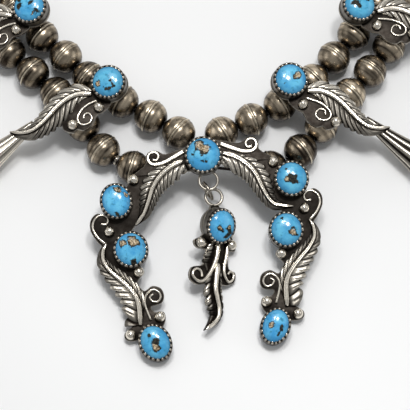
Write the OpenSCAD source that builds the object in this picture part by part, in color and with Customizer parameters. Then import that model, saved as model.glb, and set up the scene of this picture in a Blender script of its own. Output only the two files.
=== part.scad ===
// Drapery necklace: two strands of silver beads, ten blossoms with turquoise and a naja with a drop.
// Millimetres. It lies flat with Z up, the naja towards -Y and the clasp towards +Y.

/* [Beads] */
// Bead diameter
bead_diameter = 9.1; // [8.9:0.1:9.2]
// Bead length along the thread
bead_length = 8.4; // [8.2:0.1:8.4]
// Distance from bead to bead
bead_pitch = 8.7; // [8.7:0.05:8.8]
// Bore through a bead
bead_bore = 1.9; // [1.7:0.1:2.2]
// How far the seam round a bead stands out
seam_height = 0.14; // [0.06:0.02:0.2]
// Thread diameter
thread_diameter = 0.8; // [0.6:0.1:0.9]
// Gap in the inner strand that a blossom's lug takes, bead centre to bead centre
inner_gap = 11.2; // [11.1:0.1:11.5]
// The same gap in the outer strand
outer_gap = 10.3; // [10.3:0.1:10.6]

/* [Silverwork] */
// Thickness of every back plate
plate_thickness = 0.8; // [0.7:0.05:0.9]
// Height of a bezel above its plate
bezel_height = 3.0; // [2.8:0.1:3.2]
// Bezel wall thickness
bezel_wall = 0.45; // [0.4:0.05:0.5]
// Height of the scroll wires above the plate
wire_height = 0.7; // [0.6:0.1:0.8]
// Width of the scroll wires
wire_width = 0.5; // [0.4:0.05:0.6]
// Ball radius
ball_radius = 1.35; // [1.25:0.05:1.4]
// Height of a leaf's ridge above the plate
ridge_height = 0.9; // [0.7:0.1:1.1]

/* [Stones] */
// How far a stone's dome stands above its bezel
stone_rise = 0.9; // [0.6:0.1:1.1]
// Gap under a stone in its bezel
stone_gap = 0.08; // [0.06:0.01:0.1]
// Gap round a stone in its bezel
side_gap = 0.2; // [0.18:0.01:0.22]

/* [Layout] */
// Turn of the naja on the table, degrees
naja_turn = 6; // [5.5:0.5:6.5]
// Slope of the naja, its top being higher, degrees
naja_slope = 10.9; // [10.8:0.1:11]
// Height of the blossom plates over the inner strand
blossom_height = 10.3; // [10.25:0.05:10.5]
// Outward slope of the blossom plates, degrees
blossom_slope = 5; // [4.5:0.5:5]
// Extra lean of a blossom's bezel, degrees
bezel_lean = 6; // [4:1:7]
// Roll of the drop to its right, degrees
drop_roll = 26; // [24:1:27]

/* [Hidden] */
$fn = 48;
bead_radius = bead_diameter / 2;
thread_height = bead_radius;
per_side = 5;
group_length = 2 * bead_pitch + inner_gap;
centre = [3.454, -102.046];

// Stations of the strands from the naja to the back: inner x, inner y, outer x, outer y
left_stations = [
  [-1.3, 15.4, -1.3, 10.6], [-7.2, 20.1, -10.2, 9.4], [-14.4, 24.6, -19.6, 10.5],
  [-22.0, 29.0, -27.2, 15.8], [-30.6, 35.5, -32.6, 23.2], [-37.1, 41.8, -38.6, 30.6],
  [-43.8, 47.9, -45.4, 36.9], [-50.2, 54.9, -56.4, 47.6], [-64.0, 73.5, -72.1, 68.5],
  [-76.0, 97.0, -84.9, 93.6], [-83.5, 124.0, -92.9, 122.5], [-85.0, 153.0, -94.5, 153.8],
  [-78.5, 182.0, -87.3, 185.5], [-63.0, 208.5, -70.4, 214.5], [-43.5, 226.8, -47.4, 236.0],
  [-28.0, 236.0, -28.0, 242.8], [-16.0, 239.9, -16.0, 242.1]];
right_stations = [
  [-1.3, 15.4, -1.3, 10.6], [4.5, 19.9, 8.4, 9.4], [12.1, 23.5, 17.6, 10.4],
  [19.8, 27.9, 25.3, 15.3], [28.2, 34.6, 30.6, 22.0], [34.3, 41.5, 36.6, 29.2],
  [39.9, 48.6, 42.7, 36.2], [45.3, 56.2, 52.6, 50.0], [57.0, 75.5, 65.4, 71.0],
  [68.0, 98.5, 76.9, 95.1], [76.0, 125.0, 85.3, 123.2], [78.5, 153.5, 88.0, 154.1],
  [72.5, 182.0, 81.4, 185.4], [57.5, 208.5, 65.0, 214.4], [38.5, 226.8, 42.4, 236.0],
  [24.0, 236.0, 24.0, 242.8], [12.0, 239.9, 12.0, 242.1]];
cone_axis_y = 241.0;
clasp_x = -2;
clasp_height = thread_height + 0.2;
cone_start = 7;

// Both arms of the naja lean to one side going down, and the right one sits higher, as in the photo
arm_offset = 0.56;
arm_drift = 0.032;
arm_step = 0.55;
naja_origin = [-1.3, 12.0, 10.0];

// Naja stones of each arm: x outward, y, half width, half length, outward lean of the long axis
naja_stones_left = [[22.7, -10.3, 3.55, 4.1, 6], [19.8, -22.9, 3.85, 4.1, 4], [15.2, -46.9, 3.5, 4.3, 24]];
naja_stones_right = [[22.15, -10.0, 3.85, 4.1, 0], [19.8, -22.9, 3.85, 4.1, 4], [15.2, -46.9, 3.2, 4.2, 24]];
function naja_stones(side) = side < 0 ? naja_stones_left : naja_stones_right;
naja_top_stone = [0.2, -1.7, 4.25, 4.25, 0];
naja_balls = [[18.0, -4.9], [24.9, -17.6], [18.2, -28.6], [13.6, -40.4], [21.2, -44.2]];
naja_upper_root = [[5.2, -1.3], [8.3, -2.5], [11.3, -4.8], [13.3, -7.6], [14.6, -10.9], [15.8, -13.6]];
// The upper leaf ends early on the left arm
naja_upper_left = concat(naja_upper_root, [[17.0, -15.2], [18.3, -16.7]]);
naja_upper_right = concat(naja_upper_root, [[17.4, -15.6], [19.8, -16.4], [22.2, -16.8]]);
naja_lower_spine = [[18.6, -42.0], [18.7, -37.2], [19.4, -34.6], [21.0, -32.2], [23.2, -29.8],
  [25.4, -27.5], [26.8, -25.0], [26.8, -22.5], [25.9, -20.5]];
naja_top_scroll = [[4.6, 1.2], [7.6, -0.2], [10.2, -1.3], [12.4, -1.5], [13.6, -0.9], [14.0, 0.3],
  [13.5, 1.4], [12.4, 1.7], [11.5, 1.2], [11.3, 0.3], [11.9, -0.4], [12.8, -0.2]];
naja_top_wire = 1.1;
naja_mid_scroll = [[26.1, -20.6], [27.9, -18.8], [29.0, -16.6], [28.8, -14.7], [27.6, -13.4],
  [26.1, -13.3], [25.1, -14.3], [25.6, -15.6], [26.9, -15.5]];
naja_low_scroll = [[15.9, -41.0], [16.8, -38.4], [17.2, -36.2], [16.5, -34.3], [15.0, -33.4],
  [13.6, -34.0], [13.1, -35.4], [14.0, -36.5], [15.3, -36.2], [15.8, -35.2], [14.9, -34.5]];

// Outline of one arm's back plate, down its outer side and back up its inner side
naja_outline = [[-0.5, 2.0], [5.2, 2.0], [9.4, 1.0], [11.7, 2.1], [13.7, 1.9], [14.6, 0.5], [14.8, -1.3],
  [18.2, -3.8], [19.6, -6.0], [24.5, -13.0], [27.8, -12.6], [29.6, -14.3], [29.7, -17.0], [28.2, -19.8],
  [27.0, -21.5], [26.0, -26.0], [22.0, -31.2], [19.6, -36.0], [19.8, -41.0], [22.7, -43.6], [22.4, -45.4],
  [20.0, -45.8], [17.0, -44.6], [13.6, -43.5], [12.2, -41.2], [12.6, -39.2], [14.8, -39.0], [15.6, -37.6],
  [13.0, -37.0], [12.2, -35.2], [12.9, -33.2], [15.0, -32.4], [17.2, -33.4], [18.6, -31.0], [16.8, -28.9],
  [17.6, -27.2], [19.5, -26.0], [19.5, -20.0], [19.0, -17.5], [15.6, -14.0], [13.0, -9.0], [9.0, -5.5],
  [5.0, -4.0], [-0.5, -4.0]];

// Blossom shapes in its own plane: u away from the naja along the strand, v outward
blossom_stone = [-1.6, -0.7, 3.95, 3.95, 0];
blossom_balls_left = [[-3.1, 5.9], [-0.6, 13.7]];
blossom_balls_right = [[-2.6, 6.3], [1.1, 15.2]];
function blossom_balls(side) = side < 0 ? blossom_balls_left : blossom_balls_right;
blossom_spine = [[0.6, 4.2], [3.4, 6.4], [5.0, 9.3], [5.7, 12.6], [5.9, 15.7], [6.2, 18.5],
  [7.0, 21.1], [8.7, 23.1], [11.4, 24.8]];
blossom_scroll_left = [[-1.6, 4.7], [-0.4, 6.9], [0.1, 9.3], [-0.4, 11.4], [-1.6, 12.25], [-2.8, 12.0],
  [-3.7, 10.7], [-3.4, 9.3], [-2.1, 8.7], [-1.3, 9.7], [-1.8, 10.7]];
blossom_scroll_right = [[-0.9, 5.2], [1.0, 8.2], [1.8, 10.8], [1.6, 12.6], [0.3, 13.4], [-1.1, 12.8],
  [-1.9, 11.4], [-1.4, 10.1], [0.1, 9.9], [0.9, 11.0], [0.3, 12.0]];
function blossom_scroll(side) = side < 0 ? blossom_scroll_left : blossom_scroll_right;
blossom_outline = [[-4.6, 2.6], [-4.7, 6.0], [-3.9, 7.9], [-4.5, 10.5], [-3.8, 13.0], [-2.2, 13.9],
  [-1.9, 15.3], [0.6, 16.1], [2.5, 14.6], [5.0, 13.0], [4.4, 9.0], [2.6, 6.5], [1.4, 2.0]];
blossom_disc = 4.75;
// Trumpet stations: x, y, z, outer radius
trumpet = [[8.4, 18.9, -0.9, 1.0], [10.9, 28.1, -2.05, 2.5], [12.7, 34.5, -2.4, 3.7],
  [13.3, 36.3, -2.5, 4.5]];
trumpet_wall = 0.45;

// How far the face of a blossom sits off its lug on the table: x, y for blossoms 1 and 2 of each side
left_shifts = [[0, -1.05], [0.2, 1.3]];
right_shifts = [[-0.8, 0.6], [-1.5, 0.8]];
function face_shift(side, k) = k > 2 ? [0, 0] : (side < 0 ? left_shifts : right_shifts)[k - 1];

// Half widths of the two sides of each leaf, evenly spaced from its root to its tip
upper_out = [0.4, 1.2, 2.8, 3.3, 2.5, 1.3, 0.3];
upper_in = [3.0, 4.0, 3.9, 3.1, 2.3, 1.5, 0.3];
lower_out = [4.0, 4.4, 4.2, 3.7, 2.7, 1.7, 0.4];
lower_in = [0.4, 1.4, 2.3, 2.4, 1.9, 1.0, 0.3];
blossom_out = [0.5, 2.4, 3.9, 4.2, 3.4, 2.0, 0.3];
blossom_in = [1.6, 3.4, 3.2, 2.7, 2.3, 1.4, 0.3];
drop_right = [0.6, 1.8, 2.1, 1.8, 1.3, 0.8, 0.3];
drop_left = [0.6, 2.4, 3.1, 3.3, 2.9, 1.6, 0.3];
drop_stem_right = [0.3, 0.3];
drop_stem_left = [2.4, 3.2, 3.5, 3.2, 0.6];

// Drop shapes in its own plane, its bezel near the origin and the ring towards +y; the bezel leans back
// on a level foot
drop_origin = [2.9, -5.9, 4.0];
drop_pitch = 5;
drop_foot = 2.4;
drop_lift = 1.2;
drop_stone_form = [-0.65, -0.1, 3.45, 4.0, 0];
drop_lean = 16;
drop_balls = [[-5.0, -5.0], [3.6, -4.8]];
drop_outline = [[-4.2, -2.5], [-6.7, -4.3], [-6.0, -6.1], [-3.4, -6.6], [-3.9, -8.6], [-4.4, -10.6],
  [-7.4, -11.5], [-8.0, -14.2], [-6.0, -15.8], [-3.2, -15.4], [-1.6, -16.5], [-0.5, -22.0], [0.5, -22.0],
  [0.4, -16.0], [2.8, -15.3], [4.8, -14.2], [5.0, -11.8], [3.2, -10.9], [2.9, -8.0], [2.8, -6.4], [4.8, -6.2],
  [5.2, -4.5], [4.0, -2.5], [1.2, 3.0], [0.4, 5.3], [-1.9, 5.3], [-2.6, 3.0]];
drop_stem = [[-0.1, -4.6], [-0.4, -7.8], [-1.3, -10.5], [-2.5, -12.8], [-4.0, -14.6], [-5.7, -14.9],
  [-7.1, -13.8], [-7.0, -12.5], [-5.9, -11.8], [-4.9, -12.4], [-4.6, -13.8]];
// The upper part of the stem, which carries lobes on its left
drop_stem_spine = [for (i = [0:3]) drop_stem[i]];
drop_stem_wire = 1.4;
drop_side_wire = 1.1;
drop_side = [[2.6, -4.9], [2.2, -8.1], [1.6, -10.7], [1.8, -12.9], [2.9, -14.4], [4.1, -13.6],
  [4.2, -12.2], [3.3, -11.7], [2.7, -12.5]];
drop_spine = [[-0.2, -10.0], [-0.7, -13.8], [-0.9, -16.5], [-0.4, -19.1], [0.1, -21.5], [-0.1, -23.6],
  [-1.4, -25.5], [-3.7, -27.3]];

// Wire rings: x, y, z, radius, wire radius; those of the naja and the drop in their own planes
naja_ring = [1.44, -7.41, 0.35, 2.37, 0.36];
drop_ring = [-0.9, 7.6, 0.4, 2.15, 0.42];
link_ring = [0.7, 2.69, 7.13, 2.4, 0.36];
link_turn = [90, 0, -61.1];

// Lugs: eye radius, bore radius; thickness of the naja's, and of a blossom's on each strand
lug_radius = 1.3;
lug_bore = 0.82;
naja_lug = 1.6;
inner_lug = 1.9;
outer_lug = 1.1;

// Cone outline: distance from its axis, distance along it; hook: half length and half width
cone_outline = [[0, 0], [1.5, 0], [1.8, 1.5], [3.2, 7], [4.5, 13], [4.0, 13], [2.7, 7], [1.2, 2], [0, 2]];
cone_eye = [1.3, 0.4];
hook_half = [5.6, 2.6];
hook_wire = 0.45;

sides = ["left", "right"];
stone_names = concat(["naja_stone_top"], [for (s = sides, k = [1:3]) str("naja_stone_", s, "_", k)]);

// A smooth curve through points, with n steps between neighbours
function between(a, b, c, d, t) =
  (2 * b + (c - a) * t + (2 * a - 5 * b + 4 * c - d) * t * t + (3 * b - a - 3 * c + d) * t * t * t) / 2;
function smooth(p, n = 5) = let (m = len(p) - 1)
  concat([for (i = [0:m - 1], k = [0:n - 1])
    between(i > 0 ? p[i - 1] : 2 * p[0] - p[1], p[i], p[i + 1],
      i < m - 1 ? p[i + 2] : 2 * p[m] - p[m - 1], k / n)], [p[m]]);
function reversed(p) = [for (i = [len(p) - 1:-1:0]) p[i]];
function lengths(c) =
  [for (i = 0, s = 0; i < len(c); s = s + (i < len(c) - 1 ? norm(c[i + 1] - c[i]) : 0), i = i + 1) s];
function table(c, axis) = let (l = lengths(c)) [for (i = [0:len(c) - 1]) [l[i], c[i][axis]]];
// A curve is kept as its x table and y table over arc length
function curve(points, n = 5) = let (c = smooth(points, n)) [table(c, 0), table(c, 1)];
function span(cv) = cv[0][len(cv[0]) - 1][0];
function at(cv, s) = [lookup(s, cv[0]), lookup(s, cv[1])];
function heading(cv, s) = let (d = at(cv, s + 0.6) - at(cv, s - 0.6)) atan2(d[1], d[0]);
function nearest(cv, p) = let (d = [for (q = cv[0]) norm(at(cv, q[0]) - p)], m = min(d))
  [for (i = [0:len(d) - 1]) if (d[i] == m) cv[0][i][0]][0];

function columns(rows, a) = [for (r = rows) [r[a], r[a + 1]]];
function rest(p) = [for (i = [1:len(p) - 1]) p[i]];
inner = curve(concat(reversed(columns(left_stations, 0)), rest(columns(right_stations, 0))), 8);
outer = curve(concat(reversed(columns(left_stations, 2)), rest(columns(right_stations, 2))), 8);
inner_mid = nearest(inner, [left_stations[0][0], left_stations[0][1]]);
outer_mid = nearest(outer, [left_stations[0][2], left_stations[0][3]]);

// Distance along the inner strand, from its middle, of blossom k
inner_start = 7.2;
function blossom_s(k) = inner_start + 2 * bead_pitch + inner_gap / 2 + (k - 1) * group_length;
function blossom_at(side, k) = at(inner, inner_mid + side * blossom_s(k));
function blossom_angle(side, k) = heading(inner, inner_mid + side * blossom_s(k)) + (side < 0 ? 180 : 0);
function outward(side, k) = let (a = blossom_angle(side, k) - side * 90) [cos(a), sin(a)];
// The lug on the outer strand sits so far outward from the inner one, and so far along
outer_reach = 10.3;
outer_shift = 3.65;
function outer_s(side, k) = let (a = blossom_angle(side, k), p = blossom_at(side, k)
    + outer_reach * outward(side, k) + outer_shift * [cos(a), sin(a)])
  side * (nearest(outer, p) - outer_mid);
// A table point as seen from the face of a blossom: along the strand and outward
function level(side, k, p) =
  let (a = blossom_angle(side, k), q = p - blossom_at(side, k) - face_shift(side, k))
  [q[0] * cos(a) + q[1] * sin(a), side * (q[0] * sin(a) - q[1] * cos(a))];

function lug_turn(side, k) = side * (blossom_angle(side, k)
  - heading(outer, outer_mid + side * outer_s(side, k)) - (side < 0 ? 180 : 0));

// The last bead of a strand stays clear of the end cone, where both strands draw together
inner_end = 268;
outer_end = 276;
inner_places = concat(
  [for (k = [0:per_side - 1], j = [0:2]) inner_start + k * group_length + j * bead_pitch],
  [for (s = [inner_start + per_side * group_length : bead_pitch : inner_end]) s]);
coil_gap = 0.6;
function outer_places(side) =
  let (q = [for (k = [1:per_side]) outer_s(side, k)], first = q[0] - outer_gap / 2)
  concat([first - 2 * bead_pitch - coil_gap, first - bead_pitch, first],
  [for (k = [0:per_side - 2], j = [-1:1]) (q[k] + q[k + 1]) / 2 + j * bead_pitch],
  [for (s = [q[per_side - 1] + outer_gap / 2 : bead_pitch : outer_end]) s]);

// Form of one bead: half lengths and radii, poles flattened, with a seam round its middle
pole_half = bead_length / 2;
pole_cut = 0.22;
round_half = pole_half + pole_cut;
function bead_r(z) = bead_radius * sqrt(1 - pow(z / round_half, 2)) - seam_height;
bead_profile = concat([[bead_bore / 2, -pole_half]],
  [for (f = [-1, -0.9, -0.7, -0.45, -0.2]) [bead_r(f * pole_half), f * pole_half]],
  [[bead_r(0.3), -0.3], [bead_radius, -0.1], [bead_radius, 0.1], [bead_r(0.3), 0.3]],
  [for (f = [0.2, 0.45, 0.7, 0.9, 1]) [bead_r(f * pole_half), f * pole_half]],
  [[bead_bore / 2, pole_half]]);

module bead() {
  rotate([0, 90, 0]) rotate_extrude() polygon(bead_profile);
}

module bead_string(cv, mid, side, places) {
  color([0.42, 0.39, 0.36]) for (s = places) let (p = at(cv, mid + side * s))
    translate([p[0], p[1], thread_height]) rotate([0, 0, heading(cv, mid + side * s)]) bead();
}

// Faces of m rings of n points, closed at both ends by flat caps; their points run against the clock
function tube_faces(m, n) = concat([[for (k = [0:n - 1]) k]], [[for (k = [n - 1:-1:0]) (m - 1) * n + k]],
  [for (i = [0:m - 2], k = [0:n - 1]) let (a = i * n, b = a + n, j = (k + 1) % n)
    each [[a + k, b + k, b + j], [a + k, b + j, a + j]]]);

// A rod of n-sided section along 3-D points, closed at both ends
module rod(points, radius, n = 6) {
  m = len(points);
  ring_points = [for (i = [0:m - 1]) let (
      d = points[min(i + 1, m - 1)] - points[max(i - 1, 0)], t = d / norm(d),
      a = cross(t, abs(t[2]) < 0.9 ? [0, 0, 1] : [0, 1, 0]), u = a / norm(a), v = cross(t, u))
    for (k = [0:n - 1]) points[i] + radius * (cos(360 * k / n) * u + sin(360 * k / n) * v)];
  polyhedron(ring_points, tube_faces(m, n));
}

// A closed wire ring about Z
module ring(major, minor, n = 14, m = 5) {
  polyhedron([for (i = [0:n - 1], k = [0:m - 1]) let (r = major + minor * cos(360 * k / m))
      [r * cos(360 * i / n), r * sin(360 * i / n), minor * sin(360 * k / m)]],
    [for (i = [0:n - 1], k = [0:m - 1]) let (j = (i + 1) % n, l = (k + 1) % m)
      each [[i * m + k, i * m + l, j * m + l], [i * m + k, j * m + l, j * m + k]]]);
}

// A ring from its row of x, y, z, radius and wire radius
module ring_at(q, turn = [0, 0, 0]) {
  translate([q[0], q[1], q[2]]) rotate(turn) ring(q[3], q[4]);
}

// A flat-sided wire standing on the plate along plane points; it starts wide and narrows halfway along
module scroll_wire(points, top, wide = wire_width) {
  c = smooth(points, 2);
  m = len(c);
  bottom = 0.5;
  p = [for (i = [0:m - 1]) let (d = c[min(i + 1, m - 1)] - c[max(i - 1, 0)],
      w = (wide + (wire_width - wide) * min(1, 2 * i / m)) / 2, n = w * [-d[1], d[0]] / norm(d))
    each [[c[i][0] + n[0], c[i][1] + n[1], bottom], [c[i][0] + n[0], c[i][1] + n[1], top],
      [c[i][0] - n[0], c[i][1] - n[1], top], [c[i][0] - n[0], c[i][1] - n[1], bottom]]];
  polyhedron(p, tube_faces(m, 4));
}

// Half width of a leaf at fraction t of its spine
function width_at(widths, t) =
  lookup(t * (len(widths) - 1), [for (i = [0:len(widths) - 1]) [i, widths[i]]]);

// A leaf with a ridge on its spine and lobes on both edges, leaning towards its tip; left and right hold the
// half widths of its sides, and every other section is drawn in by notch
module leaf(spine, left, right, lobes) {
  cv = curve(spine, 4);
  bottom = 0;
  edge = 1.05;
  notch = 0.7;
  sweep = 0.3;
  ridge = plate_thickness + ridge_height;
  m = 2 * lobes + 2;
  p = [for (i = [0:m - 1]) let (t = i / (m - 1), s = t * span(cv), q = at(cv, s), a = heading(cv, s),
      f = i % 2 == 0 && i > 0 ? notch : 1, d = [cos(a), sin(a)], n = [-sin(a), cos(a)],
      wl = f * width_at(left, t), wr = f * width_at(right, t), lean = i == 0 || i == m - 1 ? 0 : sweep,
      e = q + n * wl + d * lean * wl, g = q - n * wr + d * lean * wr)
    each [[e[0], e[1], bottom], [e[0], e[1], edge], [q[0], q[1], ridge], [g[0], g[1], edge],
      [g[0], g[1], bottom]]];
  polyhedron(p, tube_faces(m, 5));
}

// A bezel: an oval cup with a floor; f holds x, y, half width, half length and turn of its stone
cup_floor = plate_thickness + 0.4;
module bezel(f, height = bezel_height) {
  difference() {
    cup(f, bezel_wall + side_gap, height + plate_thickness);
    translate([0, 0, cup_floor]) cup(f, side_gap, height);
  }
}

// A solid oval of 16 sides, larger than a stone by so much all round
module cup(f, grow, height) {
  translate([f[0], f[1], 0]) rotate([0, 0, f[4]]) scale([f[2] + grow, f[3] + grow, 1])
    cylinder(r = 1, h = height, $fn = 16);
}

// How deep the foot of a leaning bezel is sunk below its pivot
sunk = 0.2;

// Half outline of a cabochon of radius r, its dome drawn in steps of so many degrees
function dome(r, height, step) = concat([[0, 0], [r - 0.25, 0], [r, height - 1.4]],
  [for (a = [0:step:90]) [r * cos(a), height - 1.1 + (stone_rise + 0.65) * sin(a)]]);

// A cabochon in the plane of its bezel: round ones are turned, oval ones are drawn in 16 sides
module cabochon(f, height = bezel_height) {
  translate([f[0], f[1], cup_floor + stone_gap]) rotate([0, 0, f[4]])
    if (f[2] == f[3]) rotate_extrude() polygon(dome(f[3], height, 15));
    else scale([f[2] / f[3], 1, 1]) rotate_extrude($fn = 16) polygon(dome(f[3], height, 30));
}

module ball(p) {
  translate([p[0], p[1], plate_thickness + 0.45 * ball_radius]) sphere(r = ball_radius, $fn = 7);
}

// Drilled lug under a plate: x, y in plane, thread height below the plate bottom, heading of the thread
module lug(p, drop, turn, thickness) {
  translate([p[0], p[1], -drop]) rotate([0, 0, turn]) difference() {
    hull() {
      rotate([0, 90, 0]) cylinder(r = lug_radius, h = thickness, center = true, $fn = 6);
      translate([0, 0, drop + 0.2]) cube([thickness, 2.3, 0.4], center = true);
    }
    rotate([0, 90, 0]) cylinder(r = lug_bore, h = thickness + 2, center = true, $fn = 6);
  }
}

// The naja's arm points, bent as in the photo
function bent(side, p) = [side * p[0] + arm_offset + arm_drift * p[1], p[1] + side * arm_step];
function bent_all(side, points) = [for (p = points) bent(side, p)];
function bent_stone(side, f) = let (p = bent(side, f)) [p[0], p[1], f[2], f[3], -side * f[4]];

module in_naja() {
  translate(naja_origin) rotate([0, 0, naja_turn]) rotate([naja_slope, 0, 0]) children();
}
// Where a table point is in the naja's plane: x, y and height below the plate
function naja_local(x, y, z) = let (d = [x, y, z] - naja_origin, a = naja_turn, b = naja_slope,
    e = [d[0] * cos(a) + d[1] * sin(a), -d[0] * sin(a) + d[1] * cos(a), d[2]])
  [e[0], e[1] * cos(b) + e[2] * sin(b), -e[1] * sin(b) + e[2] * cos(b)];

module naja() {
  color([0.72, 0.70, 0.67]) in_naja() union() {
    linear_extrude(plate_thickness) for (side = [-1, 1]) polygon(bent_all(side, naja_outline));
    bezel(bent_stone(1, naja_top_stone));
    for (side = [-1, 1]) {
      for (f = naja_stones(side)) bezel(bent_stone(side, f));
      for (q = naja_balls) ball(bent(side, q));
      top = plate_thickness + wire_height;
      scroll_wire(bent_all(side, naja_top_scroll), top, naja_top_wire);
      scroll_wire(bent_all(side, naja_mid_scroll), top);
      scroll_wire(bent_all(side, naja_low_scroll), top);
      out = side > 0;
      upper_spine = out ? naja_upper_right : naja_upper_left;
      leaf(bent_all(side, upper_spine), out ? upper_out : upper_in, out ? upper_in : upper_out, 8);
      leaf(bent_all(side, naja_lower_spine), out ? lower_in : lower_out, out ? lower_out : lower_in, 8);
    }
    // The drop's ring stands from the top bezel in the plane of the plate
    ring_at(naja_ring);
    // Lugs behind for the two threads: x, y and heading on the table
    for (q = [[-1.3, 15.55, 0], [-10.2, 9.4, -4], [8.4, 9.4, 4]])
      let (l = naja_local(q[0], q[1], thread_height)) lug(l, -l[2], q[2] - naja_turn, naja_lug);
  }
}

module naja_stone(side, k) {
  color([0.32, 0.66, 0.86]) in_naja()
    cabochon(k < 0 ? bent_stone(1, naja_top_stone) : bent_stone(side, naja_stones(side)[k]));
}

// A blossom's own plane on the table, mirrored for the left side
module in_blossom(side, k) {
  p = blossom_at(side, k) + face_shift(side, k);
  translate([p[0], p[1], blossom_height]) rotate([0, 0, blossom_angle(side, k)])
    mirror([0, side > 0 ? 1 : 0, 0]) rotate([-blossom_slope, 0, 0]) children();
}

// A blossom's bezel leans outward, lifted so that its floor stays over the plate
lean_lift = 0.3;
blossom_bezel = bezel_height + 0.2;
module leaned() {
  translate([0, 0, lean_lift + sunk]) rotate([-bezel_lean, 0, 0]) translate([0, 0, -sunk]) children();
}

module blossom(side, k) {
  color([0.72, 0.70, 0.67]) in_blossom(side, k) union() {
    linear_extrude(plate_thickness) union() {
      translate([blossom_stone[0], blossom_stone[1]]) circle(r = blossom_disc, $fn = 16);
      polygon(blossom_outline);
    }
    leaned() bezel(blossom_stone, blossom_bezel);
    for (q = blossom_balls(side)) ball(q);
    scroll_wire(blossom_scroll(side), plate_thickness + wire_height);
    leaf(blossom_spine, blossom_out, blossom_in, 8);
    // Trumpet: a hollow flaring tube under the tip of the leaf
    difference() {
      tube(trumpet, 0);
      tube(rest(trumpet), -trumpet_wall);
    }
    plane_lug(level(side, k, blossom_at(side, k)), inner_lug);
    plane_lug(level(side, k, at(outer, outer_mid + side * outer_s(side, k))), outer_lug, lug_turn(side, k));
  }
}

// A lug from the plate down to the thread at a place given level on the table
module plane_lug(q, thickness, turn = 0) {
  b = blossom_slope;
  h = thread_height - blossom_height;
  local = [q[0], q[1] * cos(b) - h * sin(b), q[1] * sin(b) + h * cos(b)];
  lug(local, -local[2], turn, thickness);
}

// A tube of ten sides through stations x, y, z and radius
module tube(stations, grow) {
  n = 10;
  m = len(stations);
  function centre_of(i) = [stations[i][0], stations[i][1], stations[i][2]];
  d = centre_of(m - 1) - centre_of(0);
  t = d / norm(d);
  a = cross(t, [0, 0, 1]);
  u = a / norm(a);
  v = cross(t, u);
  push = grow < 0 ? 0.3 : 0;
  p = [for (i = [0:m - 1], k = [0:n - 1]) centre_of(i) + (i == m - 1 ? push * t : [0, 0, 0])
    + (stations[i][3] + grow) * (cos(360 * k / n) * u + sin(360 * k / n) * v)];
  polyhedron(p, tube_faces(m, n));
}

module blossom_gem(side, k) {
  color([0.32, 0.66, 0.86]) in_blossom(side, k) leaned() cabochon(blossom_stone, blossom_bezel);
}

module in_drop() {
  translate(drop_origin) rotate([drop_pitch, 0, 0]) rotate([0, drop_roll, 0]) children();
}

module drop() {
  color([0.72, 0.70, 0.67]) in_drop() union() {
    linear_extrude(plate_thickness) polygon(drop_outline);
    // Its bezel leans back on a level foot
    difference() {
      union() {
        cup(drop_stone_form, bezel_wall + side_gap, drop_foot);
        tipped() cup(drop_stone_form, bezel_wall + side_gap, bezel_height + plate_thickness);
      }
      tipped() translate([0, 0, cup_floor]) cup(drop_stone_form, side_gap, bezel_height);
    }
    for (q = drop_balls) ball(q);
    scroll_wire(drop_stem, plate_thickness + wire_height, drop_stem_wire);
    scroll_wire(drop_side, plate_thickness + wire_height, drop_side_wire);
    leaf(drop_stem_spine, drop_stem_right, drop_stem_left, 2);
    leaf(drop_spine, drop_right, drop_left, 6);
    ring_at(drop_ring, [0, -0.6 * drop_roll, 0]);
  }
}

module tipped() {
  translate([0, 0, drop_lift + sunk]) rotate([drop_lean, 0, 0]) translate([0, 0, -sunk]) children();
}

module drop_gem() {
  color([0.32, 0.66, 0.86]) in_drop() tipped() cabochon(drop_stone_form);
}

module drop_link() {
  color([0.72, 0.70, 0.67]) ring_at(link_ring, link_turn);
}

// A thread runs straight through each bead and bends between them; middle holds stops at the naja
straight_half = 3.9;
function through(cv, stops) =
  [for (t = stops) let (p = at(cv, t), a = heading(cv, t), d = straight_half * [cos(a), sin(a)])
    each [p - d, p + d]];
module thread(cv, mid, left, right, middle) {
  first = mid - left[len(left) - 1] - 5;
  last = mid + right[len(right) - 1] + 5;
  path = concat([for (t = [0:4:first]) at(cv, t)], through(cv, [for (s = reversed(left)) mid - s]),
    [for (s = middle) at(cv, mid + s)], through(cv, [for (s = right) mid + s]),
    reversed([for (t = [span(cv):-4:last]) at(cv, t)]));
  color([0.25, 0.22, 0.20]) rod([for (p = path) [p[0], p[1], thread_height]], thread_diameter / 2, 5);
}

module wire_coil() {
  s = outer_mid - (outer_places(-1)[0] + outer_places(-1)[1]) / 2;
  p = at(outer, s);
  color([0.72, 0.70, 0.67]) translate([p[0], p[1], thread_height]) rotate([0, 0, heading(outer, s)])
    rotate([0, 90, 0]) ring(1.35, 0.22, 12, 5);
}

// End cone with an eye, its axis along X; side -1 is the left one
module end_cone(side) {
  color([0.55, 0.53, 0.50]) translate([clasp_x + side * cone_start, cone_axis_y, clasp_height])
    mirror([side < 0 ? 1 : 0, 0, 0]) union() {
      rotate([0, 90, 0]) rotate_extrude() polygon(cone_outline);
      translate([-cone_eye[0] - 0.1, 0, 0]) rotate([90, 0, 0])
        rotate_extrude() translate([cone_eye[0], 0]) circle(r = cone_eye[1]);
    }
}

// The clasp: one plain hook whose two bends pass through the eyes
module clasp() {
  color([0.55, 0.53, 0.50]) translate([clasp_x, cone_axis_y, clasp_height])
    rod([for (a = [112:15.8:428]) [hook_half[0] * cos(a), hook_half[1] * sin(a), 0]], hook_wire, 6);
}

module placed() {
  translate([centre[0], centre[1], 0]) children();
}

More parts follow.
